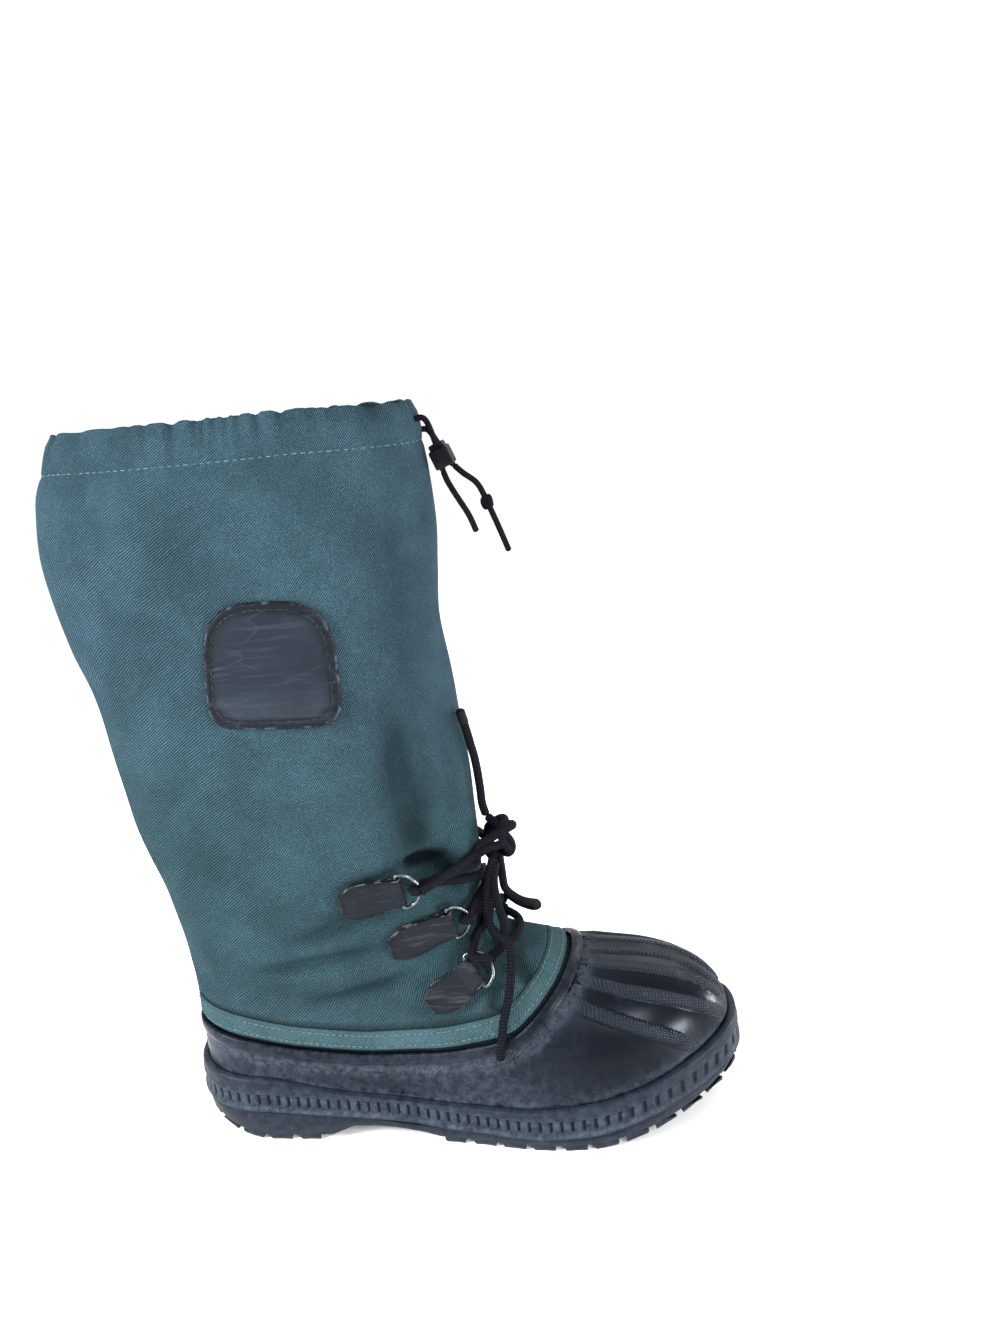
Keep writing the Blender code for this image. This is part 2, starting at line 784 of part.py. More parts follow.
def build_shaft(look):
    rim = ring(rim_height)
    depth = SHELL_WALL + TUCK_GAP
    outer = [lift(walk(rim, -TUCK), -depth), lift(rim, -depth)]
    outer += [lift(line, -TAPE_INSET) for line in tape_edges()]
    steps = (0.065, 0.11, 0.16, 0.23, 0.32, 0.43, 0.56, 0.69, 0.82)
    outer += [ring(between(rim_height, collar_line, step)) for step in steps]
    hem = 1 - HEM_WIDTH / (BOOT_HEIGHT - 0.5 * INSTEP_HEIGHT)
    outer += [ring(between(rim_height, collar_line, hem - 0.004))]
    outer += [lift(ring(between(rim_height, collar_line, hem)), HEM_PROUD)]
    outer += [lift(ring(between(rim_height, collar_line, 0.99)), HEM_PROUD), ring(collar_line)]
    inner = [lift(line, -SHAFT_WALL) for line in outer[::-2]]
    inner = [lift(outer[-1], -SHAFT_WALL), *inner[1:-1], lift(outer[0], -SHAFT_WALL)]
    return add_tube("shaft", outer, inner, look)


def tape_edges():
    rim = ring(rim_height)
    return walk(rim, TAPE_RISE), walk(rim, TAPE_RISE + TAPE_WIDTH)


def build_tape(look):
    low, high = tape_edges()
    lie = GAP - TAPE_INSET
    outer = [lift(low, lie + TAPE_THICKNESS), lift(high, lie + TAPE_THICKNESS)]
    return add_tube("trim_tape", outer, [lift(high, lie), lift(low, lie)], look)


def build_insole(look):
    base = grow(lift(ring(seam_seat), -SHELL_WALL), -GAP * 2)
    low = at_height(base, lambda x: seam_height(x) + GAP)
    high = at_height(grow(base, -0.0006), lambda x: seam_height(x) + GAP + INSOLE_THICKNESS)
    return add_plate("insole", [low, high], look)



def flank(x, z, side, height=0.0):
    """Points on one side of the boot over a place of the side view, lifted off the surface."""
    x, z = np.broadcast_arrays(np.asarray(x, float), np.asarray(z, float))
    low = np.zeros(x.shape)
    high = np.full(x.shape, 0.1)
    for _ in range(36):
        mid = (low + high) / 2
        outside = boot_field(x, side * mid, z) > 0
        high = np.where(outside, mid, high)
        low = np.where(outside, low, mid)
    points = np.stack([x, side * low, z], -1)
    return points + field_normal(points) * np.reshape(height, (-1, 1))


def front(y, z, height):
    """Points on the front of the leg and instep at a place of the front view."""
    y, z = np.broadcast_arrays(np.asarray(y, float), np.asarray(z, float))
    low = np.full(y.shape, 0.10)
    high = np.full(y.shape, LENGTH)
    for _ in range(36):
        mid = (low + high) / 2
        outside = boot_field(mid, y, z) > 0
        high = np.where(outside, mid, high)
        low = np.where(outside, low, mid)
    points = np.stack([low, y, z], -1)
    return points + field_normal(points) * np.reshape(height, (-1, 1))


def outward(name, vertices, faces, look, smooth=True):
    """Add a closed solid whose faces are turned outward."""
    obj = add_object(name, vertices, faces, look, smooth)
    shape = bmesh.new()
    shape.from_mesh(obj.data)
    bmesh.ops.recalc_face_normals(shape, faces=shape.faces)
    if shape.calc_volume(signed=True) < 0:
        bmesh.ops.reverse_faces(shape, faces=shape.faces)
    shape.to_mesh(obj.data)
    shape.free()
    return obj


def build_patch(look):
    around = 22
    angle = np.arange(around) / around * 2 * math.pi
    square = np.where(np.sin(angle) > 0, 2.9, 6.0)
    reach = (np.abs(np.cos(angle)) ** square + np.abs(np.sin(angle)) ** square) ** (-1 / square)
    flat_x = np.cos(angle) * reach * PATCH_WIDTH / 2 * (1 - 0.05 * np.sin(angle))
    flat_z = np.sin(angle) * reach * PATCH_HEIGHT / 2
    turn_x = flat_x * math.cos(PATCH_TILT) - flat_z * math.sin(PATCH_TILT)
    turn_z = flat_x * math.sin(PATCH_TILT) + flat_z * math.cos(PATCH_TILT)
    under = GAP * 2
    rings = []
    for scale, height in (
        (0.45, under),
        (1.0, under),
        (1.0, under + PATCH_THICKNESS * 0.6),
        (0.975, under + PATCH_THICKNESS),
        (0.45, under + PATCH_THICKNESS),
    ):
        rings.append(flank(PATCH_X + turn_x * scale, PATCH_Z + turn_z * scale, -1, height))
    faces = band_faces(len(rings), around, closed=False)
    faces += [tuple(range(around))[::-1], tuple(range(4 * around, 5 * around))]
    return outward("side_patch", np.vstack(rings), faces, look)


def tab_frame(row, side):
    """A tab's centre line on the surface, and the frame at its fold: along, across, outward."""
    spec = dict(zip(TABS.columns, TABS.values[row - 1]))
    back = np.array([spec["back_x"] * LENGTH, spec["back_z"] * INSTEP_HEIGHT])
    fold = np.array([spec["fold_x"] * LENGTH, spec["fold_z"] * INSTEP_HEIGHT])
    share = np.linspace(0, 1, 41)[:, None]
    flat = back * (1 - share) + fold * share
    line = settle(flank(flat[:, 0], flat[:, 1], side), TAB_LIFT, smooth_field)
    along_line = line[-1] - line[-4]
    along_line /= np.linalg.norm(along_line)
    out = field_normal(line[-1:])[0]
    out = out - along_line * np.dot(out, along_line)
    out /= np.linalg.norm(out)
    across = np.cross(out, along_line)
    tries = [line[-1] + along_line * a + across * w * TAB_HALF for a in TAB_REACH for w in (-0.9, 0, 0.9)]
    sunk = TAB_LIFT - smooth_field(*np.array(tries).T).min()
    line = line + out * max(sunk, 0) * np.clip((share - 0.6) / 0.2, 0, 1)
    return line, along_line, across, out


def add_tab(name, row, side, look):
    line, ahead, across, out = tab_frame(row, side)
    run = np.concatenate([[0], np.cumsum(np.linalg.norm(np.diff(line, axis=0), axis=1))])
    length = run[-1]
    bend = WIRE + GAP + LEATHER / 2
    low = LEATHER / 2
    high = low + LEATHER + GAP
    wire = low + bend
    centre = [(0, low), (0.3 * length, low), (0.65 * length, low), (length, low)]
    centre += [(length + bend * math.cos(a), wire + bend * math.sin(a)) for a in (-0.7, 0.0, 0.7)]
    centre += [(length, wire + bend), (length - 0.0065, high), (0.3 * length, high), (0, high)]
    centre = np.array(centre)
    way = np.gradient(centre, axis=0)
    way /= np.linalg.norm(way, axis=1, keepdims=True)
    side_step = np.stack([way[:, 1], -way[:, 0]], -1) * LEATHER / 2
    loop = np.vstack([centre + side_step, (centre - side_step)[::-1]])
    count = len(loop)
    vertices = []
    for step in (-1, 0, 1):
        for s, h in loop:
            width = step * TAB_HALF * float(TAB_PLAN.at("half", s / length))
            if s > length - TAB_FREE:
                vertices.append(line[-1] + ahead * (s - length) + across * width + out * h)
            else:
                base = np.array([np.interp(s, run, line[:, i]) for i in range(3)])
                vertices.append(settle((base + across * width)[None], TAB_LIFT + h, smooth_field)[0])
    faces = band_faces(3, count, closed=False)
    for first in (0, 2 * count):
        for k in range(len(centre) - 1):
            faces.append((first + k, first + k + 1, first + count - k - 2, first + count - k - 1))
    return outward(name, vertices, faces, look)


def add_ring(name, row, side, look):
    line, ahead, across, out = tab_frame(row, side)
    middle = line[-1] + out * (LEATHER / 2 + WIRE + GAP + LEATHER / 2)
    slope = ahead * math.cos(RING_TILT) + out * math.sin(RING_TILT)
    path = [(0, -0.94), (0, 0), (0, 0.94)]
    path += [(0.16 + 0.84 * math.sin(a), math.cos(a)) for a in np.linspace(0.0, math.pi, 8)]
    centre = [middle + slope * s * RING_REACH + across * w * RING_HALF for s, w in path]
    return outward(name, *closed_wire(np.array(centre), WIRE, np.cross(slope, across)), look)


def closed_wire(centre, radius, plane):
    """A hexagonal wire along a closed flat line."""
    sides = 6
    count = len(centre)
    way = np.roll(centre, -1, axis=0) - np.roll(centre, 1, axis=0)
    way /= np.linalg.norm(way, axis=1, keepdims=True)
    beside = np.cross(way, plane)
    vertices = []
    for k in range(count):
        for i in range(sides):
            a = 2 * math.pi * i / sides
            vertices.append(centre[k] + radius * (math.cos(a) * beside[k] + math.sin(a) * plane))
    return vertices, band_faces(count, sides)


def add_ridge_guide(look):
    """The toe's raised ridges as bars sunk in the shell, to be joined to it."""
    vertices = []
    faces = []
    stations = 8
    for row in RIDGES.values:
        spec = dict(zip(RIDGES.columns, row))
        t = np.sin(np.linspace(0, 1, stations) * math.pi / 2)
        share = RIDGE_START + (spec["reach"] - RIDGE_START) * t
        across = spec["start"] + (spec["end"] - spec["start"]) * t
        x = HEEL_OVERHANG + share * LAST_LENGTH
        ends = round_end((share - 1 + TOE_ROUND) / TOE_ROUND, TOE_SQUARENESS)
        half = np.where(across < 0, PLAN.at("lateral", share), PLAN.at("medial", share)) * LAST_WIDTH * ends
        points = drop(x, foot_middle(x) + across * half)
        normal = field_normal(points)
        way = np.gradient(points, axis=0)
        beside = np.cross(normal, way)
        beside /= np.linalg.norm(beside, axis=1, keepdims=True)
        fade = np.clip((1 - t) / 0.12, 0.35, 1)[:, None]
        low = -normal * RIDGE_SUNK
        top = normal * RIDGE_HEIGHT * fade
        corners = (
            points - beside * RIDGE_WIDTH / 2 + low,
            points - beside * RIDGE_WIDTH * 0.36 + top,
            points + beside * RIDGE_WIDTH * 0.36 + top,
            points + beside * RIDGE_WIDTH / 2 + low,
        )
        first = len(vertices)
        for k in range(stations):
            vertices += [corner[k] for corner in corners]
        faces += [tuple(first + i for i in face) for face in band_faces(stations, 4, closed=False)]
        faces.append((first + 3, first + 2, first + 1, first))
        last = first + 4 * (stations - 1)
        faces.append((last, last + 1, last + 2, last + 3))
    return outward("ridge_guide", vertices, faces, look)


def drop(x, y):
    """The top of the surface over a place of the plan."""
    low = np.full(np.shape(x), FOXING_HEIGHT)
    high = np.full(np.shape(x), INSTEP_HEIGHT)
    for _ in range(36):
        mid = (low + high) / 2
        outside = boot_field(x, y, mid) > 0
        high = np.where(outside, mid, high)
        low = np.where(outside, low, mid)
    return np.stack([x, y, low], -1)


def smooth_route(points, spacing):
    """Points evenly along a smooth curve through the route's own points."""
    points = np.asarray(points, float)
    padded = np.vstack([2 * points[0] - points[1], points, 2 * points[-1] - points[-2]])
    fine = []
    for k in range(1, len(padded) - 2):
        a, b, c, d = padded[k - 1:k + 3]
        for t in np.arange(0, 1, 1 / 24):
            fine.append(
                0.5 * (2 * b + (c - a) * t + (2 * a - 5 * b + 4 * c - d) * t ** 2 + (3 * b - a - 3 * c + d) * t ** 3)
            )
    fine.append(points[-1])
    fine = np.array(fine)
    run = np.concatenate([[0], np.cumsum(np.linalg.norm(np.diff(fine, axis=0), axis=1))])
    count = max(3, round(run[-1] / spacing)) + 1
    at = np.linspace(0, run[-1], count)
    return np.stack([np.interp(at, run, fine[:, i]) for i in range(3)], -1)


def add_cord(name, route, diameter, look):
    """A free cord: a round curve with filled caps along its route."""
    points = smooth_route(route, diameter * 2.5)
    curve = bpy.data.curves.new(name, "CURVE")
    curve.dimensions = "3D"
    curve.bevel_depth = diameter / 2
    curve.bevel_resolution = 2
    curve.use_fill_caps = True
    spline = curve.splines.new("POLY")
    spline.points.add(len(points) - 1)
    for point, place in zip(spline.points, points):
        point.co = (*place, 1)
    curve.materials.append(look)
    obj = bpy.data.objects.new(name, curve)
    bpy.context.collection.objects.link(obj)
    obj.parent = ROOT
    return obj


def tube(points, radius, sides=7):
    """Vertices and faces of a capped tube along open points; the radius may differ from point to point."""
    points = np.asarray(points, float)
    radius = np.broadcast_to(radius, len(points))
    way = np.gradient(points, axis=0)
    way /= np.linalg.norm(way, axis=1, keepdims=True)
    guide = np.array([0.31, 0.17, 0.93])
    vertices = []
    for place, along_tube, thick in zip(points, way, radius):
        beside = np.cross(along_tube, guide)
        beside /= np.linalg.norm(beside)
        up = np.cross(along_tube, beside)
        for i in range(sides):
            a = 2 * math.pi * i / sides
            vertices.append(place + thick * (math.cos(a) * beside + math.sin(a) * up))
    faces = band_faces(len(points), sides, closed=False)
    faces += [tuple(range(sides)), tuple(range(len(vertices) - sides, len(vertices)))[::-1]]
    return vertices, faces


def ring_eye(row, side):
    """The middle of the free end of a lace ring, where the lace runs."""
    line, ahead, across, out = tab_frame(row, side)
    slope = ahead * math.cos(RING_TILT) + out * math.sin(RING_TILT)
    return line[-1] + out * (LEATHER + WIRE + GAP) + slope * (RING_REACH - WIRE)


def strand(start, end, height, clear, drop_ends=0.0):
    """A lace strand over the front from one ring to another, short of both."""
    t = np.linspace(0, 1, 8)
    start = start + np.array([0, 0, drop_ends])
    end = end + np.array([0, 0, drop_ends])
    start_y, start_z = start[1], start[2]
    y = start_y + (end[1] - start_y) * t
    z = start_z + (end[2] - start_z) * t
    over = front(y, z, height)
    pull = np.clip(np.minimum(t, 1 - t) / 0.22, 0, 1)[:, None]
    ends = np.where((t < 0.5)[:, None], start, end)
    points = ends * (1 - pull) + over * pull
    run = np.concatenate([[0], np.cumsum(np.linalg.norm(np.diff(points, axis=0), axis=1))])
    at = np.linspace(clear, run[-1] - clear, 8)
    return clear_of_boot(np.stack([np.interp(at, run, points[:, i]) for i in range(3)], -1), height)


def clear_of_boot(points, height):
    """Move points that are too near the surface out to that height, the same or one for each point."""
    near = boot_field(*points.T) < height
    return np.where(near[:, None], settle(points, height), points)


def route(table, height):
    """A table's points laid on the boot at that height, or raised above it."""
    rows = np.array(table.values)
    places = rows[:, 1:4]
    for _ in range(2):
        places = settle(places, height)
    places = smooth_route(places + field_normal(places) * rows[:, 4:5] * LACE, LACE * 1.5)
    return clear_of_boot(places, height + RIM_BEAD)


def add_crossing(name, low_row, high_row, look):
    """Two strands that cross over the front, from one pair of rings to the next."""
    lift_low = LACE / 2 + LACE_CLEAR
    under = strand(ring_eye(low_row, -1), ring_eye(high_row, 1), lift_low, CROSS_SHORT)
    over = strand(ring_eye(low_row, 1), ring_eye(high_row, -1), lift_low + LACE * 0.55, CROSS_SHORT)
    crossing = outward(name, *tube(under, LACE / 2), look)
    guide = outward(name + "_guide", *tube(over, LACE / 2), look)
    union(crossing, guide)
    return crossing


def build_laces(look):
    lift_low = LACE / 2 + LACE_CLEAR
    bar = strand(ring_eye(3, -1), ring_eye(3, 1), lift_low, LACE, BAR_DROP)
    outward("lace_bar", *tube(bar, LACE / 2), look)
    add_crossing("lace_crossing_low", 3, 2, look)
    add_crossing("lace_crossing_high", 2, 1, look)


def knot_line():
    """The top of the lacing from ring to ring through the knot, with its thickness along it."""
    outer = ring_eye(1, -1)
    inner = ring_eye(1, 1)
    middle = front(np.array([KNOT_Y]), np.array([KNOT_Z]), KNOT_TALL / 2 + LACE_CLEAR)[0]
    t = np.linspace(-1, 1, 15)
    reach = np.array([outer if a < 0 else inner for a in t])
    bend = np.abs(t)[:, None]
    points = middle * (1 - bend) + reach * bend
    start = CROSS_SHORT * 0.6 / np.linalg.norm(outer - middle)
    keep = np.abs(t) < 1 - start
    swell = np.sqrt(np.clip(1 - (np.abs(t[keep]) / KNOT_SHARE) ** 2, 0, 1))
    thick = LACE / 2 + (KNOT_TALL / 2 - LACE / 2) * swell
    return clear_of_boot(points[keep], thick + LACE_CLEAR), thick


def build_knot(look):
    points, thick = knot_line()
    outward("lace_knot", *tube(points, thick), look)


def build_lock(look):
    """The drawcord's lock with the two strands that come to it from the collar."""
    half = [size / 2 for size in LOCK_SIZE]
    bpy.ops.mesh.primitive_cube_add(size=2)
    lock = bpy.context.object
    lock.name = "cord_lock"
    lock.data.name = "cord_lock"
    lock.parent = ROOT
    shape = bmesh.new()
    shape.from_mesh(lock.data)
    bmesh.ops.scale(shape, vec=half, verts=shape.verts)
    bmesh.ops.bevel(shape, geom=shape.edges, offset=LOCK_SIZE[0] * 0.22, segments=2, affect="EDGES")
    bmesh.ops.rotate(shape, cent=(0, 0, 0), matrix=Matrix.Rotation(LOCK_TILT, 3, "Y"), verts=shape.verts)
    bmesh.ops.translate(shape, vec=(LOCK_X, 0, LOCK_Z), verts=shape.verts)
    shape.to_mesh(lock.data)
    shape.free()
    lock.data.materials.append(look)
    for number, (x, y, z) in enumerate(COLLAR_HOLES):
        start = front(np.array([y]), np.array([z]), CORD * 0.5 + HEM_PROUD + GAP)[0]
        line = smooth_route([start, (x, y, z - 0.001), (LOCK_X - 0.001, y * 0.7, LOCK_Z + 0.004)], CORD * 1.5)
        union(lock, outward(f"cord_guide_{number}", *tube(line, CORD / 2), look))


def build_cords(look, plastic):
    build_knot(look)
    build_lock(plastic)
    height = LACE / 2 + LACE_CLEAR
    add_cord("lace_end_up", route(LACE_UP, height), LACE, look)
    add_cord("lace_end_down", route(LACE_DOWN, height), LACE, look)
    add_cord("lace_loop", route(LACE_LOOP, height), LACE, look)
    add_cord("drawcord_end_short", np.array(CORD_END_SHORT.values)[:, 1:4], CORD, look)
    line = smooth_route(np.array(CORD_END_LONG.values)[:, 1:4], CORD * 1.2)
    share = np.linspace(0, 1, len(line))
    swell = np.exp(-((share - CORD_KNOT_AT) / 0.07) ** 2)
    outward("drawcord_end_long", *tube(line, CORD / 2 + swell * CORD * 0.6, 8), look)


def build_trims(leather, steel, lace, plastic):
    build_patch(leather)
    for row in (1, 2, 3):
        for side, word in ((-1, "outer"), (1, "inner")):
            add_tab(f"lace_tab_{word}_{row}", row, side, leather)
            add_ring(f"lace_ring_{word}_{row}", row, side, steel)
    build_laces(lace)
    build_cords(lace, plastic)


def build():
    global ROOT
    for item in list(bpy.data.objects):
        bpy.data.objects.remove(item, do_unlink=True)
    ROOT = bpy.data.objects.new("boot_root", None)
    bpy.context.collection.objects.link(ROOT)
    rubber = material("black_rubber", (0.020, 0.023, 0.030), 0.42)
    fabric = material("green_twill", (0.035, 0.105, 0.105), 0.85)
    tape = material("green_tape", (0.060, 0.150, 0.125), 0.80)
    felt = material("grey_felt", (0.30, 0.29, 0.27), 0.95)
    leather = material("dark_leather", (0.045, 0.040, 0.040), 0.55)
    steel = material("ring_steel", (0.60, 0.60, 0.58), 0.30, 1.0)
    lace = material("black_lace", (0.014, 0.014, 0.018), 0.75)
    plastic = material("black_plastic", (0.018, 0.018, 0.019), 0.45)
    build_outsole(rubber)
    build_foxing(rubber)
    build_shell(rubber)
    build_shaft(fabric)
    build_tape(tape)
    build_insole(felt)
    union(bpy.data.objects["shell"], add_ridge_guide(rubber))
    build_trims(leather, steel, lace, plastic)
    stand_on_origin()


def stand_on_origin():
    """Put the middle of the boot's box, without its free cords, over the origin."""
    bpy.context.view_layer.update()
    corners = []
    graph = bpy.context.evaluated_depsgraph_get()
    for item in ROOT.children:
        if not item.hide_render and not item.name.startswith(FREE_CORDS):
            mesh = item.evaluated_get(graph).to_mesh()
            places = np.empty(len(mesh.vertices) * 3)
            mesh.vertices.foreach_get("co", places)
            corners.append(places.reshape(-1, 3))
    corners = np.vstack(corners)
    low = corners.min(axis=0)
    high = corners.max(axis=0)
    ROOT.location = (-(low[0] + high[0]) / 2, -(low[1] + high[1]) / 2, -low[2])


build()
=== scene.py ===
"""Looks of a pac boot: rubber lower, slack fabric shaft, lace rings on leather tabs, laces and a
drawcord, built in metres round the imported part."""

import math

import bmesh
import bpy
import numpy as np
from mathutils import Matrix, Vector


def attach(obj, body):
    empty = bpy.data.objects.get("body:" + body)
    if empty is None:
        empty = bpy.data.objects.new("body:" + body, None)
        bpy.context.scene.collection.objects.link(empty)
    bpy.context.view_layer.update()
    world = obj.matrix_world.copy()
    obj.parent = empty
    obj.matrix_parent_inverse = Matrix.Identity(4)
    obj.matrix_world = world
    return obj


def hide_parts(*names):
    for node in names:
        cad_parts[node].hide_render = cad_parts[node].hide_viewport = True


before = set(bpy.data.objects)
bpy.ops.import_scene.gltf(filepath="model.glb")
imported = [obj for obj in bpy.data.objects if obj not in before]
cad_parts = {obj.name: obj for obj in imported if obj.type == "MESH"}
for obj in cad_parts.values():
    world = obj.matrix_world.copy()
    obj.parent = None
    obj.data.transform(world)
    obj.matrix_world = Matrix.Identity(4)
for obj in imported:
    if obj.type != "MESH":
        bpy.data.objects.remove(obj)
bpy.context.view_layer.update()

# The part's own start of x is at the back of the heel; the row's is under the middle of its box
SHIFT = np.array([-0.1351344, 0.0008626, 0.0])

# Main sizes, in metres
LENGTH = 0.304
HEEL_OVERHANG = 0.0035
TOE_OVERHANG = 0.0045
LAST_WIDTH = 0.107
INSTEP_HEIGHT = 0.118
BOOT_HEIGHT = 0.386
SHAFT_DEPTH = 0.207
SHAFT_WIDTH = 0.098
TOE_TURN = 0.004
INSTEP_BLEND = 0.026
HEEL_BLEND = 0.008

# Sole heights
HEEL_RISE = 0.0185
FOXING_HEIGHT = 0.0190
FOXING_OVERHANG = 0.0045

# Ribs of the foxing
RIB_PITCH = 0.0056
RIB_PITCH_TOE = 0.0078
RIB_GROOVE = 0.0012

# Walls and clearances
SHELL_WALL = 0.0026
SHAFT_WALL = 0.0026
RIM_BEAD = 0.0011
TUCK = 0.0080
TUCK_GAP = 0.0009
TAPE_WIDTH = 0.0110
TAPE_RISE = 0.0025
TAPE_THICKNESS = 0.0009
INSOLE_THICKNESS = 0.0045
HEM_WIDTH = 0.0175
HEM_PROUD = 0.0010
GAP = 0.0003
TAPE_INSET = 0.0016

# Toe ridges
RIDGE_WIDTH = 0.0062
RIDGE_HEIGHT = 0.0013
RIDGE_START = 0.744

# Patch on the outer side
PATCH_WIDTH = 0.0640
PATCH_HEIGHT = 0.0630
PATCH_X = 0.0915
PATCH_Z = 0.2735
PATCH_TILT = -0.06
PATCH_THICKNESS = 0.0018

# Lace rings and their tabs
LEATHER = 0.0014
TAB_HALF = 0.0100
WIRE = 0.0010
RING_HALF = 0.0098
RING_REACH = 0.0105
RING_TILT = 0.22
TAB_LIFT = 0.0014
TAB_FREE = 0.0070
TAB_REACH = (-0.007, -0.0035, 0.0, 0.003)

# Laces and drawcord
LACE = 0.0046
LACE_CLEAR = 0.0014
BAR_DROP = -0.0035
CORD = 0.0030
KNOT_Y = -0.002
KNOT_Z = 0.158
KNOT_TALL = 0.0160
LOCK_X = 0.1795
LOCK_Z = 0.3600
COLLAR_HOLES = ((0.1745, -0.005, 0.3790), (0.1735, 0.006, 0.3730))
CORD_KNOT_AT = 0.47
CORD_KNOT = 0.0021
LOCK_SIZE = (0.0095, 0.0125, 0.0120)
LOCK_TILT = -0.35

# How finely pieces are divided: points round them, and metres between the points of a cord
SHAFT_COLUMNS = 400
SHELL_COLUMNS = 520
FOXING_COLUMNS = 1440
INSOLE_COLUMNS = 240
PATCH_COLUMNS = 280
LACE_STEP = 0.0012
KNOT_STEP = 0.0010
CORD_STEP = 0.0009
FIELD_STEP = 0.0006

# The rounded end of a cord: how far out and how thick, as shares of its radius
CAPS = ((0.45, 0.86), (0.72, 0.55), (0.8, 0.08))
# A stitch: shares of its length, with its height and its radius there as shares of the thread's
STITCH = (
    (0.0, -0.7, 0.55), (0.12, 0.15, 0.95), (0.35, 0.5, 1.0),
    (0.65, 0.5, 1.0), (0.88, 0.15, 0.95), (1.0, -0.7, 0.55),
)
STITCH_SIDES = 6

# The photograph's camera, from a fit to the boot's landmarks: pixels, degrees and metres
PHOTO_TALL = 1333
PHOTO_FOCUS = 1180
PHOTO_PITCH = 16.1
PHOTO_ROLL = 6.7
PHOTO_HEIGHT = 0.418
PHOTO_BOOT = (-0.203, 0.609, 0.0)
PHOTO_YAW = -7.9
PHOTO_SLIDE = 0.009


class Table:
    """Rows of shares with named columns; the first column is what the others follow."""

    def __init__(self, columns, *rows):
        self.columns = columns.split()
        self.values = np.array(rows, float)
        self.step = np.diff(self.values[:, 0])
        self.tangents = [self.slopes(ys) for ys in self.values.T]

    def slopes(self, ys):
        slope = np.diff(ys) / self.step
        tangent = np.zeros_like(ys)
        tangent[0] = slope[0]
        tangent[-1] = slope[-1]
        same_way = slope[:-1] * slope[1:] > 0
        both = np.where(same_way, slope[:-1] + slope[1:], 1.0)
        tangent[1:-1] = np.where(same_way, 2 * slope[:-1] * slope[1:] / both, 0.0)
        return tangent

    def at(self, name, share):
        """A smooth value between the rows, without overshoot."""
        column = self.columns.index(name)
        xs = self.values[:, 0]
        ys = self.values[:, column]
        tangent = self.tangents[column]
        share = np.minimum(np.maximum(share, xs[0]), xs[-1])
        i = np.minimum(np.searchsorted(xs[1:], share, side="right"), len(xs) - 2)
        step = self.step[i]
        t = (share - xs[i]) / step
        back = 1 - t
        rise = ys[i] * (1 + 2 * t) * back * back + ys[i + 1] * t * t * (3 - 2 * t)
        return rise + step * t * back * (tangent[i] * back - tangent[i + 1] * t)

    def named(self):
        """Each row as a dictionary of its columns."""
        return [dict(zip(self.columns, row)) for row in self.values]

    def points(self):
        """The x, y and z of a route."""
        return self.values[:, 1:4]


# Plan of the foot form: half widths as shares of the last's width
PLAN = Table(
    "along lateral medial",
    (0.00, 0.340, 0.340),
    (0.13, 0.355, 0.350),
    (0.28, 0.365, 0.350),
    (0.40, 0.385, 0.345),
    (0.53, 0.435, 0.380),
    (0.66, 0.500, 0.450),
    (0.74, 0.512, 0.485),
    (0.82, 0.505, 0.490),
    (0.90, 0.480, 0.485),
    (1.00, 0.430, 0.470),
)
# Top of the foot form, as shares of the instep height
CREST = Table(
    "along height",
    (0.00, 0.80),
    (0.20, 0.92),
    (0.40, 0.96),
    (0.50, 0.94),
    (0.60, 0.86),
    (0.68, 0.79),
    (0.73, 0.745),
    (0.79, 0.715),
    (0.85, 0.690),
    (0.90, 0.655),
    (0.94, 0.605),
    (0.97, 0.540),
    (0.99, 0.460),
    (1.00, 0.360),
)
# Leg form: back and front as shares of the shaft's depth, half width as a share of its width
LEG = Table(
    "height back front half",
    (0.00, 0.040, 0.700, 0.350),
    (0.15, 0.020, 0.760, 0.385),
    (0.27, 0.012, 0.815, 0.435),
    (0.36, -0.006, 0.835, 0.475),
    (0.43, -0.038, 0.838, 0.495),
    (0.49, -0.062, 0.838, 0.500),
    (0.58, -0.077, 0.832, 0.500),
    (0.67, -0.099, 0.819, 0.490),
    (0.73, -0.129, 0.811, 0.482),
    (0.79, -0.150, 0.820, 0.475),
    (0.855, -0.164, 0.831, 0.460),
    (0.92, -0.147, 0.830, 0.435),
    (0.97, -0.102, 0.822, 0.410),
    (1.00, -0.077, 0.812, 0.395),
)
# Seam between outsole and foxing, and the foxing's height above it
SEAM = Table(
    "along height foxing",
    (0.00, 1.06, 1.10),
    (0.13, 1.00, 1.08),
    (0.30, 0.78, 0.78),
    (0.40, 0.66, 0.73),
    (0.50, 0.46, 0.80),
    (0.64, 0.39, 0.88),
    (0.74, 0.46, 0.95),
    (0.85, 0.80, 0.92),
    (0.92, 1.10, 0.96),
    (1.00, 1.45, 1.05),
)
# Edge of the rubber along the side, as shares of the instep height
RIM = Table(
    "along height",
    (0.00, 0.545),
    (0.10, 0.515),
    (0.22, 0.465),
    (0.36, 0.432),
    (0.46, 0.440),
    (0.56, 0.485),
    (0.62, 0.535),
    (0.66, 0.610),
    (0.70, 0.700),
    (0.73, 0.760),
    (1.00, 0.800),
)
# Soft folds of the slack fabric: a line in the side view from one end to the other
FOLDS = Table(
    "row from_x from_z to_x to_z side depth width",
    (0, 0.545, 0.640, 0.520, 0.480, -1, 0.0060, 0.0200),
    (1, 0.520, 0.480, 0.500, 0.380, -1, 0.0065, 0.0110),
    (2, 0.060, 0.235, 0.330, 0.205, -1, 0.0028, 0.0080),
    (3, 0.330, 0.205, 0.520, 0.250, -1, 0.0024, 0.0080),
)

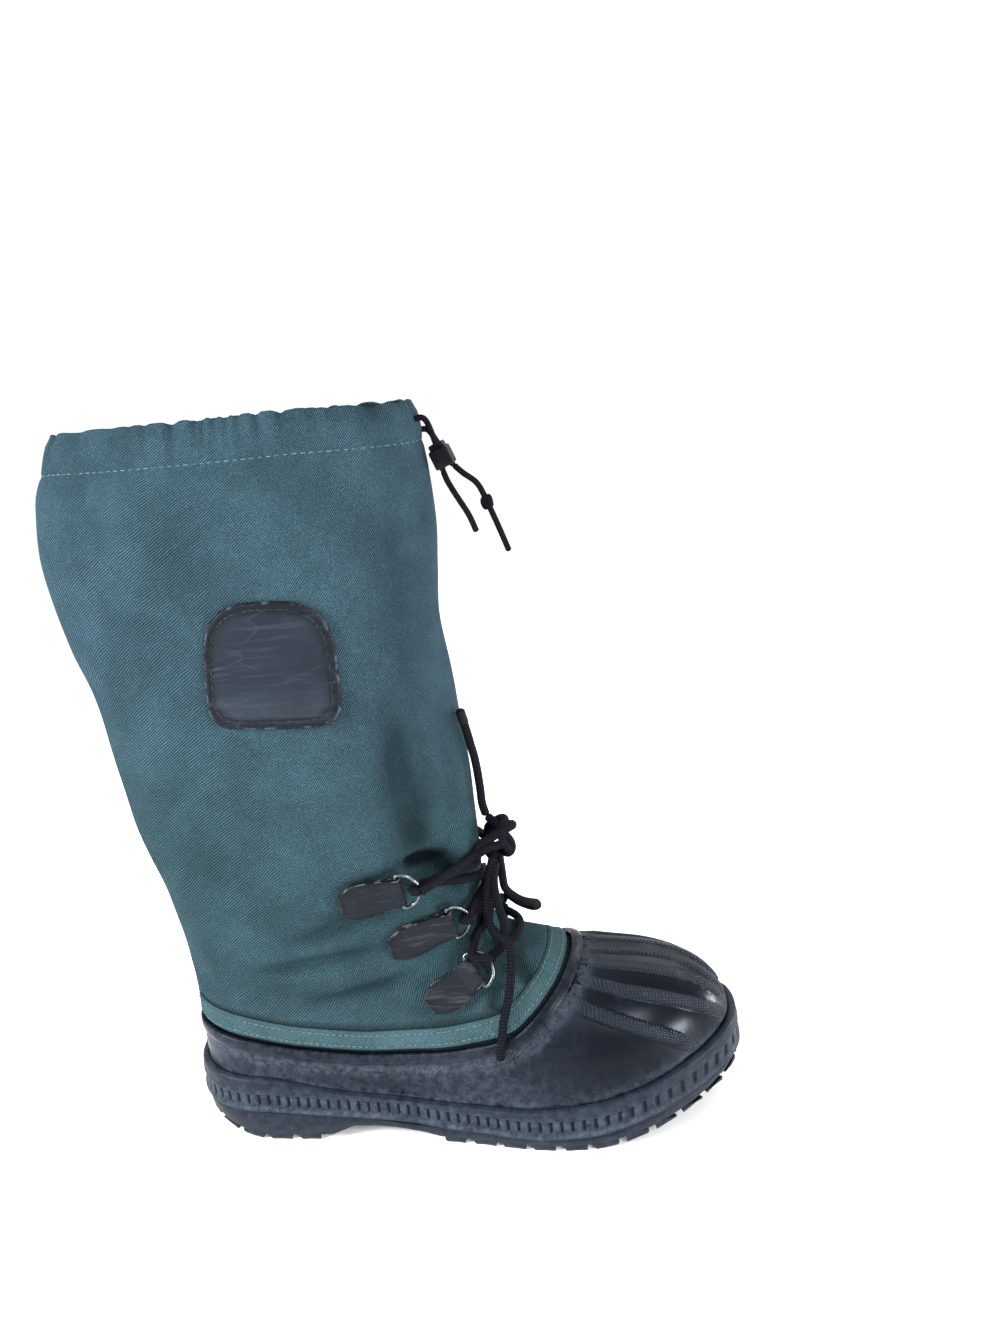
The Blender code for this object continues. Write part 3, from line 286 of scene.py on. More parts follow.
# Leather tabs of the lace rings, from the sewn back end to the fold that holds the ring, as
# shares of the length and of the instep height
TABS = Table(
    "row back_x back_z fold_x fold_z",
    (1, 0.352, 1.228, 0.446, 1.262),
    (2, 0.418, 0.978, 0.513, 1.040),
    (3, 0.474, 0.670, 0.552, 0.784),
)
# Width of a tab from its back end to its fold
TAB_PLAN = Table(
    "along half",
    (0.00, 0.54),
    (0.30, 1.00),
    (1.00, 0.76),
)
# Raised ridges of the toe: where they start and end across the foot, as shares of its half width
# there, and how far they run towards the toe
RIDGES = Table(
    "row start end reach",
    (0, -0.70, -0.93, 0.905),
    (1, -0.48, -0.74, 0.955),
    (2, -0.25, -0.36, 0.980),
    (3, -0.02, 0.02, 0.988),
    (4, 0.22, 0.38, 0.980),
    (5, 0.45, 0.74, 0.955),
    (6, 0.68, 0.93, 0.905),
)
# Routes of the free laces and cords, in metres: x and z in the side view, y across. What lies over
# another lace is raised by that many thicknesses
LACE_UP = Table(
    "row x y z raised",
    (0, 0.1795, 0.001, 0.1680, 0.55),
    (1, 0.1800, 0.003, 0.1830, -0.05),
    (2, 0.1810, 0.001, 0.2000, -0.1),
    (3, 0.1810, -0.002, 0.2110, 0.0),
    (4, 0.1790, -0.004, 0.2210, 0.0),
    (5, 0.1760, -0.006, 0.2310, 0.1),
)
LACE_DOWN = Table(
    "row x y z raised",
    (0, 0.1780, -0.009, 0.1475, 1.3),
    (1, 0.1730, -0.014, 0.1330, 1.7),
    (2, 0.1680, -0.016, 0.1190, 1.7),
    (3, 0.1720, -0.018, 0.1080, 1.6),
    (4, 0.1840, -0.022, 0.0960, 1.5),
    (5, 0.1860, -0.031, 0.0820, 0.6),
    (6, 0.1830, -0.041, 0.0700, 0.0),
    (7, 0.1800, -0.047, 0.0520, 0.0),
)
LACE_LOOP = Table(
    "row x y z raised",
    (0, 0.1780, 0.007, 0.1475, 1.3),
    (1, 0.1790, 0.010, 0.1320, 1.6),
    (2, 0.1820, 0.012, 0.1180, 1.6),
    (3, 0.1900, 0.015, 0.1040, 1.7),
    (4, 0.1950, 0.021, 0.0960, 1.7),
    (5, 0.1950, 0.030, 0.0900, 1.5),
    (6, 0.1880, 0.034, 0.0960, 1.7),
    (7, 0.1800, 0.030, 0.1080, 1.8),
)
CORD_END_SHORT = Table(
    "row x y z",
    (0, 0.1797, -0.003, 0.3528),
    (1, 0.1815, -0.004, 0.3475),
    (2, 0.1850, -0.005, 0.3405),
    (3, 0.1900, -0.005, 0.3305),
    (4, 0.1930, -0.005, 0.3215),
)
CORD_END_LONG = Table(
    "row x y z",
    (0, 0.1843, 0.003, 0.3544),
    (1, 0.1885, 0.003, 0.3500),
    (2, 0.1950, 0.003, 0.3440),
    (3, 0.1990, 0.003, 0.3340),
    (4, 0.2030, 0.003, 0.3220),
    (5, 0.2070, 0.003, 0.3090),
)

LAST_LENGTH = LENGTH - HEEL_OVERHANG - TOE_OVERHANG
HEEL_ROUND = 0.13
HEEL_SQUARENESS = 2.15
TOE_ROUND = 0.34
TOE_SQUARENESS = 2.4
FOOT_SQUARENESS = 2.5
LEG_SQUARENESS = 2.2


def unit(values):
    """Values held between 0 and 1."""
    return np.clip(values, 0, 1)


def bell(distance, width):
    return np.exp(-(distance / width) ** 2)


def eased(share):
    """A share from 0 to 1 with a soft start and end."""
    return share * share * (3 - 2 * share)


def normed(vectors):
    """The same directions with a length of one."""
    return vectors / np.linalg.norm(vectors, axis=-1, keepdims=True)


def along(x):
    """Share of the last's length at x."""
    return (np.asarray(x, float) - HEEL_OVERHANG) / LAST_LENGTH


def round_end(share, squareness):
    return np.maximum(1 - unit(share) ** squareness, 0) ** (1 / squareness)


def seam_height(x):
    return HEEL_RISE * SEAM.at("height", along(x))


def foxing_top(x):
    return seam_height(x) + FOXING_HEIGHT * SEAM.at("foxing", along(x))


def rim_height(x):
    return INSTEP_HEIGHT * RIM.at("height", along(x))


def foot_middle(x):
    return TOE_TURN * unit((along(x) - 0.6) / 0.4) ** 1.5


def foot_field(x, y, z):
    share = along(x)
    ends = round_end((HEEL_ROUND - share) / HEEL_ROUND, HEEL_SQUARENESS)
    ends = ends * round_end((share - 1 + TOE_ROUND) / TOE_ROUND, TOE_SQUARENESS)
    off = y - foot_middle(x)
    half = np.where(off < 0, PLAN.at("lateral", share), PLAN.at("medial", share))
    half = np.maximum(LAST_WIDTH * half * ends, 1e-5)
    floor = seam_height(x) + 0.25 * FOXING_HEIGHT
    tall = np.maximum(INSTEP_HEIGHT * CREST.at("height", share) - floor, 1e-4)
    up = np.maximum(z - floor, 0)
    ratio = (np.abs(off / half) ** FOOT_SQUARENESS + (up / tall) ** FOOT_SQUARENESS)
    ratio = np.maximum(ratio, 1e-12) ** (1 / FOOT_SQUARENESS)
    reach = np.hypot(off, up) + 1e-9
    field = reach - reach / ratio
    past = np.maximum(share - 1, -share) * LAST_LENGTH
    return np.where(past > 0, np.maximum(field, past + 1e-4), field)


def leg_field(x, y, z):
    height = z / BOOT_HEIGHT
    back = SHAFT_DEPTH * LEG.at("back", height)
    front = SHAFT_DEPTH * LEG.at("front", height)
    half = SHAFT_WIDTH * LEG.at("half", height)
    off = x - (back + front) / 2
    ratio = np.abs(off / ((front - back) / 2)) ** LEG_SQUARENESS + np.abs(y / half) ** LEG_SQUARENESS
    ratio = np.maximum(ratio, 1e-12) ** (1 / LEG_SQUARENESS)
    reach = np.hypot(off, y) + 1e-9
    return reach - reach / ratio


def fold_depth(x, y, z):
    depth = 0
    for fold in FOLDS.named():
        ax = fold["from_x"] * LENGTH
        az = fold["from_z"] * BOOT_HEIGHT
        bx = fold["to_x"] * LENGTH - ax
        bz = fold["to_z"] * BOOT_HEIGHT - az
        t = unit(((x - ax) * bx + (z - az) * bz) / (bx * bx + bz * bz))
        away = np.hypot(x - ax - t * bx, z - az - t * bz) / fold["width"]
        side = unit(0.5 + fold["side"] * y / 0.02)
        depth = depth + fold["depth"] * np.exp(-away ** 2) * side
    return depth


def boot_field(x, y, z):
    """Distance outside the boot's own surface, negative inside."""
    return smooth_field(x, y, z) + fold_depth(x, y, z)


def smooth_field(x, y, z):
    """The same without the folds."""
    foot = foot_field(x, y, z)
    leg = leg_field(x, y, z)
    blend = HEEL_BLEND + (INSTEP_BLEND - HEEL_BLEND) * unit((along(x) - 0.3) / 0.3)
    near = np.maximum(blend - np.abs(foot - leg), 0) / blend
    return np.minimum(foot, leg) - near ** 2 * blend / 4


def field_normal(points, field=boot_field):
    grad = []
    for push in np.eye(3) * FIELD_STEP:
        ahead = field(*(points + push).T)
        behind = field(*(points - push).T)
        grad.append((ahead - behind) / (2 * FIELD_STEP))
    return normed(np.stack(grad, -1))


def settle(points, offset, field=boot_field):
    """Move points along the field's slope until they lie that far outside the surface."""
    for _ in range(6):
        normal = field_normal(points, field)
        here = field(*points.T)
        slope = (field(*(points + normal * FIELD_STEP).T) - here) / FIELD_STEP
        points = points - normal * ((here - offset) / slope)[:, None]
    return points


def edge_of(outside, low, high, rounds):
    """Where values from low to high cross out of the surface, found by halving."""
    for _ in range(rounds):
        mid = (low + high) / 2
        out = outside(mid)
        high = np.where(out, mid, high)
        low = np.where(out, low, mid)
    return low


def ring(line, columns):
    """The boot's outline where its surface meets the side-view line z = line(x), from the heel's
    middle round the lateral side to the toe and back along the medial side."""
    fine = 720
    angle = np.linspace(0, 2 * math.pi, fine, endpoint=False)
    middle = 0.45 * LENGTH if line(0.45 * LENGTH) < INSTEP_HEIGHT * 0.8 else 0.25 * LENGTH
    turn_x = -np.cos(angle) * LENGTH
    turn_y = -np.sin(angle) * SHAFT_WIDTH

    def outside(mid):
        x = middle + mid * turn_x
        return boot_field(x, mid * turn_y, line(x)) > 0

    low = edge_of(outside, np.zeros(fine), np.ones(fine), 26)
    x = middle + low * turn_x
    return spread(np.stack([x, low * turn_y, line(x)], -1), columns)


def run_of(points):
    """The length along a line up to each of its points."""
    return np.concatenate([[0], np.cumsum(np.linalg.norm(np.diff(points, axis=0), axis=1))])


def on_line(at, run, points):
    """The places at those lengths along a line."""
    return np.stack([np.interp(at, run, points[:, i]) for i in range(3)], -1)


def spread(points, columns):
    """The same closed line with its points evenly apart, or at given shares of its length."""
    loop = np.vstack([points, points[:1]])
    run = run_of(loop)
    at = np.asarray(columns) * run[-1] if np.ndim(columns) else np.arange(columns) / columns * run[-1]
    return on_line(at, run, loop)


def at_height(points, height):
    """The same plan at another height: a number, or a function of x."""
    level = height(points[:, 0]) if callable(height) else np.full(len(points), height)
    return np.column_stack([points[:, :2], level])


def grow(points, distance):
    """Offset a closed line outward in plan."""
    ahead = np.roll(points, -1, axis=0)
    behind = np.roll(points, 1, axis=0)
    run = ahead - behind
    normal = normed(np.stack([run[:, 1], -run[:, 0], np.zeros(len(points))], -1))
    return points + normal * np.reshape(distance, (-1, 1))


def lift(points, distance):
    """Move points off the surface along its own normal."""
    return points + field_normal(points) * np.reshape(distance, (-1, 1))


def walk(points, distance):
    """Slide a ring over the surface, up the boot for a positive distance."""
    steps = max(1, round(abs(distance) / 0.004))
    for _ in range(steps):
        run = np.roll(points, -1, axis=0) - np.roll(points, 1, axis=0)
        up = normed(np.cross(field_normal(points), run))
        points = settle(points + up * distance / steps, 0.0)
    return points


def between(low_line, high_line, share):
    """A side-view line part of the way from one line to another."""
    return lambda x: low_line(x) * (1 - share) + high_line(x) * share


def collar_line(x):
    return np.full(np.shape(x), BOOT_HEIGHT)


# Mesh helpers

def placed(points):
    """Points from the part's own coordinates to the row's."""
    return np.asarray(points, float) + SHIFT


def linked(name, data):
    """A new object in the scene."""
    obj = bpy.data.objects.new(name, data)
    bpy.context.scene.collection.objects.link(obj)
    return obj


def mesh_object(name, vertices, faces, look, uv=None):
    """A piece from vertices in row coordinates; uv has a place for each corner of each face."""
    mesh = bpy.data.meshes.new(name)
    mesh.vertices.add(len(vertices))
    mesh.vertices.foreach_set("co", np.asarray(vertices, np.float32).ravel())
    mesh.loops.add(faces.size)
    mesh.loops.foreach_set("vertex_index", faces.astype(np.int32).ravel())
    mesh.polygons.add(len(faces))
    mesh.polygons.foreach_set("loop_start", np.arange(len(faces), dtype=np.int32) * faces.shape[1])
    mesh.update(calc_edges=True)
    mesh.polygons.foreach_set("use_smooth", np.ones(len(faces), bool))
    if uv is not None:
        layer = mesh.uv_layers.new(name="UVMap")
        layer.uv.foreach_set("vector", np.asarray(uv, np.float32).ravel())
    mesh.materials.append(look)
    return linked(name, mesh)


def masks(obj, **values_of):
    """Named values of the piece's vertices, for its material; one number stands for all of them."""
    count = len(obj.data.vertices)
    for name, values in values_of.items():
        layer = obj.data.attributes.new(name, "FLOAT", "POINT")
        values = np.broadcast_to(np.ravel(values), count)
        layer.data.foreach_set("value", np.ascontiguousarray(values, np.float32))


def grid_faces(rows, columns):
    """Quads of a grid of rows by columns, joined round its columns."""
    r, c = np.meshgrid(np.arange(rows - 1), np.arange(columns), indexing="ij")
    n = (c + 1) % columns
    quads = np.stack([r * columns + c, r * columns + n, (r + 1) * columns + n, (r + 1) * columns + c], -1)
    return quads.reshape(-1, 4)


def grid_uv(grid):
    """Places in metres on a grid for each corner of its faces: along the rows and up the columns."""
    loop = np.concatenate([grid, grid[:, :1]], axis=1)
    step = np.linalg.norm(np.diff(loop, axis=1), axis=2).mean(axis=0)
    u = np.concatenate([[0], np.cumsum(step)])
    rise = np.linalg.norm(np.diff(loop, axis=0), axis=2)
    v = np.concatenate([0 * rise[:1], np.cumsum(rise, axis=0)])
    place = np.stack([np.broadcast_to(u, v.shape), v], -1)
    corners = np.stack([place[:-1, :-1], place[:-1, 1:], place[1:, 1:], place[1:, :-1]], 2)
    return corners.reshape(-1, 2)


def grid_object(name, grid, look):
    """A piece from a grid of points in the part's coordinates."""
    grid = np.asarray(grid, float)
    faces = grid_faces(*grid.shape[:2])
    return mesh_object(name, placed(grid.reshape(-1, 3)), faces, look, grid_uv(grid))


def closed_grid(name, grid, look):
    """A wall whose rows run up the outside and down the inside, back to the first row."""
    grid = np.asarray(grid, float)
    rows, columns = grid.shape[:2]
    faces = grid_faces(rows + 1, columns) % (rows * columns)
    uv = grid_uv(np.concatenate([grid, grid[:1]]))
    return mesh_object(name, placed(grid.reshape(-1, 3)), faces, look, uv)


def smooth_route(points, spacing):
    """Points evenly along a smooth curve through the route's own points."""
    points = np.asarray(points, float)
    padded = np.vstack([2 * points[0] - points[1], points, 2 * points[-1] - points[-2]])
    fine = []
    for k in range(1, len(padded) - 2):
        a, b, c, d = padded[k - 1:k + 3]
        for t in np.arange(0, 1, 1 / 24):
            cubic = (3 * b - a - 3 * c + d) * t ** 3
            fine.append(0.5 * (2 * b + (c - a) * t + (2 * a - 5 * b + 4 * c - d) * t ** 2 + cubic))
    fine.append(points[-1])
    return even(np.array(fine), spacing)


def even(points, spacing):
    """The same open line with its points about that far apart."""
    run = run_of(points)
    at = np.linspace(0, run[-1], max(3, round(run[-1] / spacing)) + 1)
    return on_line(at, run, points)


def route_length(points):
    return float(np.linalg.norm(np.diff(points, axis=0), axis=1).sum())


def tube_grid(points, radius, sides, closed=False):
    """Rings of points round a line, turned as little as possible from one to the next."""
    points = np.asarray(points, float)
    radius = np.broadcast_to(radius, len(points))
    if closed:
        way = np.roll(points, -1, axis=0) - np.roll(points, 1, axis=0)
    else:
        way = np.gradient(points, axis=0)
    way = normed(way)
    beside = normed(np.cross(way[0], [0.31, 0.17, 0.93]))
    frames = []
    for direction in way:
        beside = normed(beside - direction * np.dot(beside, direction))
        frames.append((beside, np.cross(direction, beside)))
    turn = 0.0
    if closed:
        first, last = frames[0], frames[-1]
        turn = math.atan2(np.dot(first[0], last[1]), np.dot(first[0], last[0]))
    rings = []
    for k, (place, (a, b), size) in enumerate(zip(points, frames, radius)):
        angle = np.arange(sides) / sides * 2 * math.pi + turn * k / len(points)
        rings.append(place + size * (np.cos(angle)[:, None] * a + np.sin(angle)[:, None] * b))
    return np.array(rings)


def fill_ends(obj, sides):
    """Close the open ends of a piece, each with that many sides."""
    shape = bmesh.new()
    shape.from_mesh(obj.data)
    bmesh.ops.holes_fill(shape, edges=[e for e in shape.edges if e.is_boundary], sides=sides)
    shape.to_mesh(obj.data)
    shape.free()


def tube_piece(name, points, radius, look, sides=14, closed=False):
    """A round tube along a line, with rounded ends unless it is closed on itself."""
    points = np.asarray(points, float)
    radius = np.array(np.broadcast_to(radius, len(points)), float)
    if closed:
        return closed_grid(name, tube_grid(points, radius, sides, closed), look)
    head = normed(points[0] - points[1])
    tail = normed(points[-1] - points[-2])
    front_points = [points[0] + head * radius[0] * (s - CAPS[-1][0]) for s, _ in CAPS[::-1]]
    back_points = [points[-1] + tail * radius[-1] * (s - CAPS[-1][0]) for s, _ in CAPS]
    front_size = [radius[0] * w for _, w in CAPS[::-1]]
    back_size = [radius[-1] * w for _, w in CAPS]
    points = np.vstack([front_points, points[1:-1], back_points])
    radius = np.concatenate([front_size, radius[1:-1], back_size])
    tube = grid_object(name, tube_grid(points, radius, sides), look)
    fill_ends(tube, sides)
    return tube


def joined(name, pieces):
    """One piece made of several."""
    for obj in bpy.context.selected_objects:
        obj.select_set(False)
    for obj in pieces:
        obj.select_set(True)
    bpy.context.view_layer.objects.active = pieces[0]
    bpy.ops.object.join()
    pieces[0].name = name
    pieces[0].data.name = name
    return pieces[0]


def stitches(name, line, out, pitch, length, thick, look):
    """Short threads along a closed line, each with its ends dipping into the cloth."""
    line = np.vstack([line, line[:1]])
    out = np.vstack([out, out[:1]])
    shares, heights, sizes = np.array(STITCH).T
    run = run_of(line)
    count = max(1, round(run[-1] / pitch))
    vertices = []
    faces = []
    for number, start in enumerate((np.arange(count) + 0.2) * run[-1] / count):
        at = np.minimum(start + shares * length, run[-1])
        path = on_line(at, run, line) + on_line(at, run, out) * thick * heights[:, None]
        rings = tube_grid(path, thick * sizes, STITCH_SIDES)
        faces.append(grid_faces(len(rings), STITCH_SIDES) + number * len(STITCH) * STITCH_SIDES)
        vertices.append(rings.reshape(-1, 3))
    return mesh_object(name, placed(np.vstack(vertices)), np.vstack(faces), look)


# Materials

class Look:
    """A material being wired up: add() makes a node and links or sets its inputs."""

    def __init__(self, name):
        self.material = bpy.data.materials.new(name)
        self.material.use_nodes = True
        self.tree = self.material.node_tree
        self.shader = self.tree.nodes["Principled BSDF"]

    def add(self, kind, inputs=None, **settings):
        node = self.tree.nodes.new(kind)
        for key, value in settings.items():
            setattr(node, key, value)
        for key, value in (inputs or {}).items():
            self.set(node.inputs[key], value)
        return node

    def set(self, socket, value):
        if isinstance(value, bpy.types.NodeSocket):
            self.tree.links.new(value, socket)
        else:
            socket.default_value = value

    def finish(self, **values):
        for key, value in values.items():
            self.set(self.shader.inputs[key.replace("_", " ")], value)

    def math(self, operation, a, b=0.0, c=0.0):
        node = self.add("ShaderNodeMath", {0: a, 1: b, 2: c}, operation=operation)
        return node.outputs[0]

    def times(self, a, b):
        return self.math("MULTIPLY", a, b)

    def times_plus(self, a, b, c):
        return self.math("MULTIPLY_ADD", a, b, c)

    def plus(self, a, b):
        return self.math("ADD", a, b)

    def minus(self, a, b):
        return self.math("SUBTRACT", a, b)

    def over(self, a, b):
        return self.math("DIVIDE", a, b)

    def wave(self, value):
        """A sine from 0 to 1 that turns once for each whole step of the value."""
        return self.times_plus(self.math("SINE", self.times(value, 2 * math.pi)), 0.5, 0.5)

    def noise(self, scale, detail=3.0, roughness=0.5, vector=None):
        settings = {"Scale": scale, "Detail": detail, "Roughness": roughness}
        node = self.add("ShaderNodeTexNoise", {"Vector": vector or self.place(), **settings})
        return node.outputs["Fac"]

    def place(self):
        return self.add("ShaderNodeTexCoord").outputs["Object"]

    def height(self):
        return self.add("ShaderNodeSeparateXYZ", {"Vector": self.place()}).outputs["Z"]

    def stretched(self, x, y, z):
        node = self.add("ShaderNodeMapping", {"Vector": self.place(), "Scale": (x, y, z)})
        return node.outputs["Vector"]

    def uv(self):
        place = self.add("ShaderNodeUVMap", uv_map="UVMap").outputs["UV"]
        node = self.add("ShaderNodeSeparateXYZ", {"Vector": place})
        return node.outputs["X"], node.outputs["Y"]

    def mask(self, name):
        return self.add("ShaderNodeAttribute", attribute_name=name).outputs["Fac"]

    def step(self, value, low, high, to_low=0.0, to_high=1.0):
        node = self.add(
            "ShaderNodeMapRange",
            {"Value": value, "From Min": low, "From Max": high, "To Min": to_low, "To Max": to_high},
            interpolation_type="SMOOTHSTEP",
        )
        return node.outputs["Result"]

    def mix(self, share, a, b, blend="MIX"):
        node = self.add("ShaderNodeMix", data_type="RGBA", blend_type=blend)
        self.set(node.inputs["Factor"], share)
        for number, colour in ((6, a), (7, b)):
            is_socket = isinstance(colour, bpy.types.NodeSocket)
            self.set(node.inputs[number], colour if is_socket else (*colour, 1.0))
        return node.outputs[2]

    def bump(self, height, strength, distance):
        node = self.add("ShaderNodeBump", {"Height": height, "Strength": strength, "Distance": distance})
        return node.outputs["Normal"]


def twill_look(name, dark, light, low_tint, pitch, depth):
    """A coarse twill: diagonal ribs crossed by finer yarn, cloudy, with painted shade in its folds."""
    look = Look(name)
    u, v = look.uv()
    wander = look.times(look.noise(120.0, 2.0), 1.5 * pitch)
    diagonal = look.plus(look.minus(u, v), wander)
    line = look.wave(look.over(diagonal, pitch))
    across = look.plus(look.times(u, 0.8), v)
    yarn = look.wave(look.over(across, pitch * 0.66))
    weave = look.times(line, look.times_plus(yarn, 0.55, 0.45))
    speck = look.noise(1100.0, 2.0, 0.7)
    weave = look.times_plus(look.minus(speck, 0.5), 1.10, weave)
    # The weave's crevices are darker and its raised ribs lighter: partly yarn colour, partly painted shade.
    colour = look.mix(look.step(weave, 0.05, 0.75), dark, light)
    cloud = look.noise(11.0, 4.0, 0.6)
    tint = look.plus(look.step(look.height(), 0.10, 0.34), look.times_plus(cloud, 1.0, -0.5))
    colour = look.mix(look.step(tint, 0.1, 0.9), look.mix(1.0, colour, low_tint, "MULTIPLY"), colour)
    shade = look.step(look.noise(34.0, 4.0, 0.6), 0.3, 0.7, 0.80, 1.12)
    grey = look.add("ShaderNodeCombineXYZ", {0: shade, 1: shade, 2: shade}).outputs[0]
    colour = look.mix(1.0, colour, grey, "MULTIPLY")
    dust = look.times(look.mask("dust"), look.step(look.noise(120.0, 3.0), 0.35, 0.75))
    colour = look.mix(dust, colour, (0.055, 0.066, 0.068))
    # Painted shade: the fold mask takes the colour to near black in creases and gathers, and draws a dark seam
    # line above the tape.
    colour = look.mix(look.times(look.mask("fold"), 0.94), colour, (0.0008, 0.0022, 0.0028))
    look.finish(Base_Color=colour, Roughness=0.9, Normal=look.bump(weave, 0.9, depth))
    look.finish(Specular_IOR_Level=0.05)
    return look.material


def rubber_look(name, base, gloss, dust_colour, knurl):
    """Dark rubber with a dull film, scuffs, dust where it gathers, painted highlights and painted shade from
    masks, and a fine diamond knurl.
    """
    look = Look(name)
    cloud = look.noise(22.0, 4.0, 0.6)
    streaks = look.noise(60.0, 5.0, 0.7, look.stretched(1.0, 1.0, 0.35))
    fine = look.noise(900.0, 2.0)
    scuff = look.times(look.step(streaks, 0.57, 0.70), look.step(cloud, 0.42, 0.62))
    dust = look.times(look.mask("dust"), look.step(look.noise(210.0, 6.0, 0.8), 0.28, 0.78))
    film = look.times(look.step(cloud, 0.45, 0.80), 0.05)
    cover = look.plus(look.plus(dust, film), look.times(scuff, 0.14))
    cover = look.math("MINIMUM", cover, 0.85)
    # Towards the dust and highlight colour: dust, film and scuffs, and on the foxing painted highlights on the
    # rib tops and ledge.
    colour = look.mix(cover, base, dust_colour)
    rough = look.step(cloud, 0.3, 0.8, gloss, gloss + 0.14)
    rough = look.plus(rough, look.times(cover, 0.45))
    u, v = look.uv()
    ahead = look.over(look.plus(u, v), knurl)
    behind = look.over(look.minus(u, v), knurl)
    diamond = look.times(look.wave(ahead), look.wave(behind))
    grain = look.times(diamond, look.mask("knurl"))
    relief = look.times_plus(look.noise(180.0, 3.0), 0.10, look.times(grain, 2.4))
    relief = look.times_plus(fine, 0.05, relief)
    rough = look.times_plus(look.mask("knurl"), 0.12, rough)
    # Painted highlight: the knurl's raised diamonds are lightened.
    colour = look.mix(look.times(grain, 0.62), colour, dust_colour)
    # Painted shade: near black where the recess mask is set.
    colour = look.mix(look.mask("pit"), colour, (0.0015, 0.0018, 0.0025))
    look.finish(Base_Color=colour, Roughness=rough, Normal=look.bump(relief, 0.7, 0.0006))
    look.finish(Specular_IOR_Level=0.09, Specular_Tint=(0.80, 0.88, 1.0, 1.0))
    return look.material


def leather_look(name, base, middle, worn, crack_scale, crack_share, painted_low_highlight):
    """Dark leather: a smoother middle, a rough dark border, level creases, cracks, a worn edge and a painted
    highlight low on the middle.
    """
    look = Look(name)
    cells = look.add("ShaderNodeTexVoronoi", {"Vector": look.stretched(0.7, 1.0, 1.9), "Scale": crack_scale})
    cells.feature = "DISTANCE_TO_EDGE"
    cracks = look.step(cells.outputs["Distance"], 0.0, 0.045, 1.0, 0.0)
    cracks = look.times(cracks, look.step(look.noise(60.0, 3.0), 0.42, 0.60))
    level = look.noise(120.0, 4.0, 0.7, look.stretched(0.18, 1.0, 2.2))
    level = look.step(level, 0.52, 0.68)
    grain = look.noise(1100.0, 3.0, 0.6)
    cloud = look.noise(55.0, 4.0, 0.6)
    border = look.mask("edge")
    inside = look.minus(1.0, look.math("MINIMUM", look.times(border, 3.0), 1.0))
    inside = look.times(inside, look.step(cloud, 0.25, 0.75, 0.55, 1.0))
    colour = look.mix(inside, base, middle)
    rim = look.step(border, 0.93, 0.99)
    rim = look.times(rim, look.step(look.noise(230.0, 3.0), 0.48, 0.62))
    # Painted highlight: the lower part of the middle is lightened towards the worn colour.
    low = look.times(look.step(look.height(), PATCH_Z - 0.030, PATCH_Z - 0.006, painted_low_highlight, 0.0), inside)
    wear_and_highlight = look.times_plus(cracks, crack_share, look.times_plus(level, 0.24, low))
    wear_and_highlight = look.math("MINIMUM", look.plus(rim, wear_and_highlight), 0.9)
    colour = look.mix(wear_and_highlight, colour, worn)
    relief = look.minus(look.times(grain, 0.5), look.times(cracks, 0.8))
    relief = look.times_plus(cloud, 0.6, relief)
    relief = look.times_plus(level, -0.5, relief)
    rough = look.step(look.noise(140.0, 3.0), 0.3, 0.7, 0.46, 0.66)
    look.finish(Base_Color=colour, Roughness=rough, Normal=look.bump(relief, 0.6, 0.0005))
    look.finish(Specular_IOR_Level=0.12, Specular_Tint=(0.78, 0.88, 1.0, 1.0))
    return look.material


def braid_look(name, around, carriers, lay, base, light):
    """A round braid: diamonds of thread from two sets of turns that cross."""
    look = Look(name)
    u, v = look.uv()
    turns = look.times(u, carriers / around)
    rise = look.over(v, lay)
    left = look.wave(look.plus(turns, rise))
    right = look.wave(look.minus(turns, rise))
    over = look.times(left, right)
    under = look.times(look.minus(1.0, left), look.minus(1.0, right))
    diamonds = look.math("MAXIMUM", over, under)
    threads = look.wave(look.times(v, 4200.0))
    relief = look.times_plus(threads, 0.12, diamonds)
    fuzz = look.noise(1800.0, 1.0)
    # Colour follows the relief: painted highlight on the thread crests, painted shade between them.
    share = look.times(look.step(relief, 0.25, 1.0), look.times_plus(fuzz, 0.6, 0.4))
    look.finish(Base_Color=look.mix(share, base, light), Roughness=0.72, Specular_IOR_Level=0.05)
    look.finish(Normal=look.bump(relief, 0.9, 0.0006))
    return look.material


def wire_look():
    look = Look("ring_wire")
    scratches = look.noise(500.0, 4.0, 0.7)
    colour = look.mix(look.step(scratches, 0.4, 0.75), (0.105, 0.115, 0.12), (0.022, 0.022, 0.022))
    look.finish(Base_Color=colour, Roughness=look.step(scratches, 0.3, 0.8, 0.18, 0.42), Metallic=1.0)
    return look.material


def thread_look(name, colour, tint):
    look = Look(name)
    share = look.noise(700.0, 2.0)
    colour = look.mix(look.step(share, 0.3, 0.7), colour, tint)
    look.finish(Base_Color=colour, Roughness=0.85, Specular_IOR_Level=0.05)
    return look.material


def plastic_look():
    look = Look("lock_plastic")
    fine = look.noise(900.0, 3.0)
    share = look.step(look.noise(90.0), 0.45, 0.8)
    look.finish(Base_Color=look.mix(share, (0.0025, 0.0025, 0.0035), (0.0075, 0.0080, 0.0105)))
    look.finish(Roughness=look.step(fine, 0.3, 0.7, 0.42, 0.60), Normal=look.bump(fine, 0.15, 0.0003))
    look.finish(Specular_IOR_Level=0.06)
    return look.material


def felt_look():
    look = Look("insole_felt")
    fibres = look.noise(700.0, 5.0, 0.75)
    cloud = look.noise(40.0, 3.0)
    colour = look.mix(look.step(fibres, 0.3, 0.7), (0.20, 0.19, 0.175), (0.34, 0.33, 0.31))
    colour = look.mix(look.step(cloud, 0.5, 0.8, 0.0, 0.4), colour, (0.13, 0.12, 0.11))
    look.finish(Base_Color=colour, Roughness=0.95, Specular_IOR_Level=0.2)
    look.finish(Normal=look.bump(fibres, 0.8, 0.0008))
    return look.material


